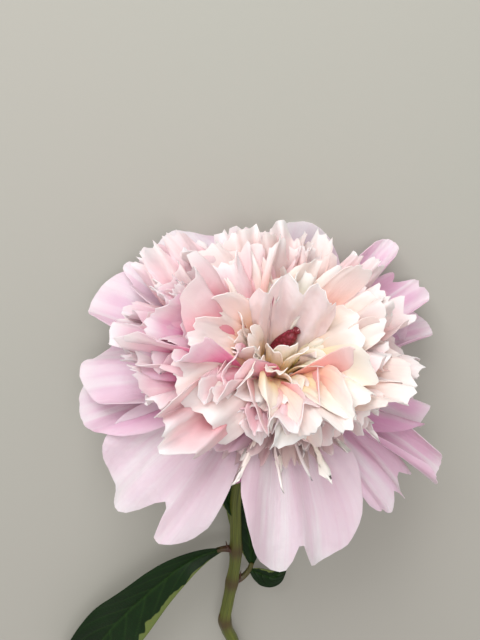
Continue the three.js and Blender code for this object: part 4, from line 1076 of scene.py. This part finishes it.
# Half the width, which grows to its widest and closes to the tip.
rising = add(leaf_tree, MATH, (along, size["Widest"]), operation="DIVIDE")
left = add(leaf_tree, MATH, (1, along), operation="SUBTRACT")
spare = add(leaf_tree, MATH, (1, size["Widest"]), operation="SUBTRACT")
falling = add(leaf_tree, MATH, (left, spare), operation="DIVIDE")
part = add(leaf_tree, MATH, (rising, falling), operation="MINIMUM")
part = add(leaf_tree, MATH, (part, math.pi / 2), operation="MULTIPLY")
part = add(leaf_tree, MATH, (part,), operation="SINE")
part = add(leaf_tree, MATH, (part, LEAF_FULLNESS), operation="POWER")
half = add(leaf_tree, MATH, (part, size["Half width"], size["Base half width"]), operation="MULTIPLY_ADD")

# The waved rim, and the veins: phase counts them, forwards along the midrib and back towards the rim.
waved = add(leaf_tree, MATH, (size["Wave count"], 2 * math.pi), operation="MULTIPLY")
waved = add(leaf_tree, MATH, (waved, along, across), operation="MULTIPLY_ADD")
waved = add(leaf_tree, MATH, (waved,), operation="SINE")
rimward = add(leaf_tree, MATH, (across,), operation="ABSOLUTE")
squared = add(leaf_tree, MATH, (across, across), operation="MULTIPLY")
waved = add(leaf_tree, MATH, (waved, squared), operation="MULTIPLY")
waved = add(leaf_tree, MATH, (waved, size["Wave"]), operation="MULTIPLY")
narrower = add(leaf_tree, MATH, (half, size["Half width"]), operation="DIVIDE")
waved = add(leaf_tree, MATH, (waved, narrower), operation="MULTIPLY")
bowed = add(leaf_tree, MATH, (rimward, VEIN_BOW_START), operation="POWER")
bowed = add(leaf_tree, MATH, (bowed, VEIN_BOW), operation="MULTIPLY")
phase = add(leaf_tree, MATH, (along, size["Vein count"]), operation="MULTIPLY")
phase = add(leaf_tree, MATH, (phase, bowed), operation="SUBTRACT")
side_step = add(leaf_tree, MATH, (across, 0), operation="GREATER_THAN")
phase = add(leaf_tree, MATH, (side_step, VEIN_OFFSET, phase), operation="MULTIPLY_ADD")
phase = add(leaf_tree, MATH, (phase, math.pi), operation="MULTIPLY")
puff = add(leaf_tree, MATH, (phase,), operation="SINE")
puff = add(leaf_tree, MATH, (puff,), operation="ABSOLUTE")
vein = bell(leaf_tree, puff, VEIN_FINENESS)
puff = add(leaf_tree, MATH, (puff, PUFF_FULLNESS), operation="POWER")
edge = add(leaf_tree, MATH, (squared, squared), operation="MULTIPLY")
edge = add(leaf_tree, MATH, (1, edge), operation="SUBTRACT")
puff = add(leaf_tree, MATH, (puff, edge), operation="MULTIPLY")
puff = add(leaf_tree, MATH, (puff, narrower), operation="MULTIPLY")
vein = add(leaf_tree, MATH, (vein, edge), operation="MULTIPLY")

# The blade's height: folded up from the midrib, waved, puffed between the veins and sunk at the midrib.
reach = add(leaf_tree, MATH, (across, half), operation="MULTIPLY")
midrib = bell(leaf_tree, reach, MIDRIB_FINENESS)
fold_up, fold_out = [add(leaf_tree, MATH, (size["Fold"],), operation=ratio) for ratio in ("SINE", "COSINE")]
reach = add(leaf_tree, MATH, (reach, fold_out), operation="MULTIPLY")
rise = add(leaf_tree, MATH, (rimward, half), operation="MULTIPLY")
rise = add(leaf_tree, MATH, (rise, fold_up, waved), operation="MULTIPLY_ADD")
rise = add(leaf_tree, MATH, (puff, size["Vein depth"], rise), operation="MULTIPLY_ADD")
sunk = add(leaf_tree, MATH, (midrib, size["Midrib depth"]), operation="MULTIPLY")
rise = add(leaf_tree, MATH, (rise, sunk), operation="SUBTRACT")
place = add(leaf_tree, "ShaderNodeVectorMath", {"Vector": side, "Scale": reach}, operation="SCALE")
place = add(leaf_tree, "ShaderNodeVectorMath", (rib.outputs["Position"], place), operation="ADD")
lifted = add(leaf_tree, "ShaderNodeVectorMath", {"Vector": over, "Scale": rise}, operation="SCALE")
place = add(leaf_tree, "ShaderNodeVectorMath", (place, lifted), operation="ADD")
veins = add(leaf_tree, MATH, (vein, SIDE_VEIN_TINT, midrib), operation="MULTIPLY_ADD")
blade = marked(leaf_tree, blade, {"across": across, "along": along, "vein": veins})
blade = add(leaf_tree, "GeometryNodeSetPosition", {"Geometry": blade, "Position": place})
blade = add(leaf_tree, "GeometryNodeTransform", {"Geometry": blade, "Scale": (MM, MM, MM)})
finished(leaf_tree, laid(leaf_tree, blade), size["Material"])


def leaf_face(name, lamina_dark, lamina_light, vein_tint, rim_tint, roughness):
    """Leaf skin: waxy above, dull below, mottled in patches of about 11 mm and grained in cells of about
    1 mm, with paler veins. Its lower rim is rolled up unevenly, so that a strip of rim_tint shows there."""
    material, nodes, skin = new_material(name)
    spot = add(nodes, "ShaderNodeTexCoord").outputs["Object"]
    across, along, vein = [
        add(nodes, "ShaderNodeAttribute", attribute_name=mark).outputs["Fac"]
        for mark in ("across", "along", "vein")]
    broad = add(nodes, "ShaderNodeTexNoise", {"Vector": spot, "Scale": 0.09 / MM, "Detail": 3.0})
    lamina = {"Factor": broad, "A": colour(lamina_dark), "B": colour(lamina_light)}
    lamina = add(nodes, "ShaderNodeMix", lamina, data_type="RGBA")
    share = add(nodes, MATH, (vein, VEIN_TINT_SHARE), operation="MULTIPLY", use_clamp=True)
    veined = {"Factor": share, "A": lamina, "B": colour(vein_tint)}
    veined = add(nodes, "ShaderNodeMix", veined, data_type="RGBA")
    uneven = {"W": along, "Scale": 9.0, "Detail": 2.0}
    uneven = add(nodes, "ShaderNodeTexNoise", uneven, noise_dimensions="1D")
    roll = add(nodes, MATH, (uneven, ROLL_WAVER, across), operation="MULTIPLY_ADD")
    share = add(nodes, "ShaderNodeMapRange", {"Value": roll, **ROLL_EDGE})
    tint = {"Factor": share, "A": veined, "B": colour(rim_tint)}
    tint = add(nodes, "ShaderNodeMix", tint, data_type="RGBA")
    cells = add(nodes, "ShaderNodeTexVoronoi", {"Vector": spot, "Scale": 0.9 / MM})
    relief = add(nodes, "ShaderNodeBump", {"Strength": 0.25, "Distance": 0.3 * MM, "Height": cells})
    fill(nodes, skin, {
        "Base Color": tint, "Normal": relief, "Roughness": roughness, "Specular IOR Level": 0.2,
        "Subsurface Weight": 0.08, "Subsurface Scale": 1 * MM,
    })
    return material


upper_face = leaf_face("waxy upper leaf skin", "#081b05", "#15310d", "#2c4a1b", "#69763f", 0.5)
under_face = leaf_face("dull under leaf skin", "#55653a", "#75834f", "#8c9663", "#7c8a4c", 0.65)
LEAF_THICKNESS = 0.4
# Each blade's midrib, the node that it belongs to and its sizes.
LEAVES = {
    "leaf_left_blade": (
        [(-40.5, -144.9, 18.4), (-48.6, -146, 21), (-59, -150.6, 23.5), (-76, -166.5, 21.5),
         (-98, -194, 14.5), (-112, -220, 7.5), (-122, -247, 0.4)],
        "leaf_left", {"Half width": 14.5, "Widest": 0.62, "Fold": 0.32, "Wave": 1.6, "Wave count": 3.2}),
    "leaf_right_blade": (
        [(-26.2, -156, 13.4), (-26.8, -147, 13.6), (-28.2, -135, 12.8), (-31, -115, 10), (-35, -93, 5),
         (-37, -75, 1.2)],
        "leaf_right", {"Half width": 8.5, "Widest": 0.4, "Fold": 0.25, "Wave": 0.8, "Wave count": 2.0}),
    "leaf_right_lobe": (
        [(-27, -159, 13.2), (-22, -161.4, 13), (-16, -164.2, 11.5), (-9.5, -161, 9.6)],
        "leaf_right", {"Half width": 4.5, "Widest": 0.5, "Fold": 0.35, "Wave": 0.4, "Vein count": 5.0}),
    "leaf_bract_blade": (
        [(-35.4, -125.4, 21), (-37.4, -117, 19.5), (-40, -106, 16.5), (-43, -91, 12), (-45, -77, 8)],
        "leaf_bract", {"Half width": 6.5, "Widest": 0.55, "Fold": 0.3, "Wave": 0.5, "Wave count": 1.5}),
}
for name, (line, node, form) in LEAVES.items():
    leaf = grown_along(name, line, leaf_tree, {**LEAF_FORM, **form, "Material": upper_face})
    leaf.data.materials.append(under_face)
    wall = leaf.modifiers.new("thickness", "SOLIDIFY")
    wall.thickness = LEAF_THICKNESS * MM
    wall.offset = 0
    wall.material_offset = 1
    hand_over(leaf, node)
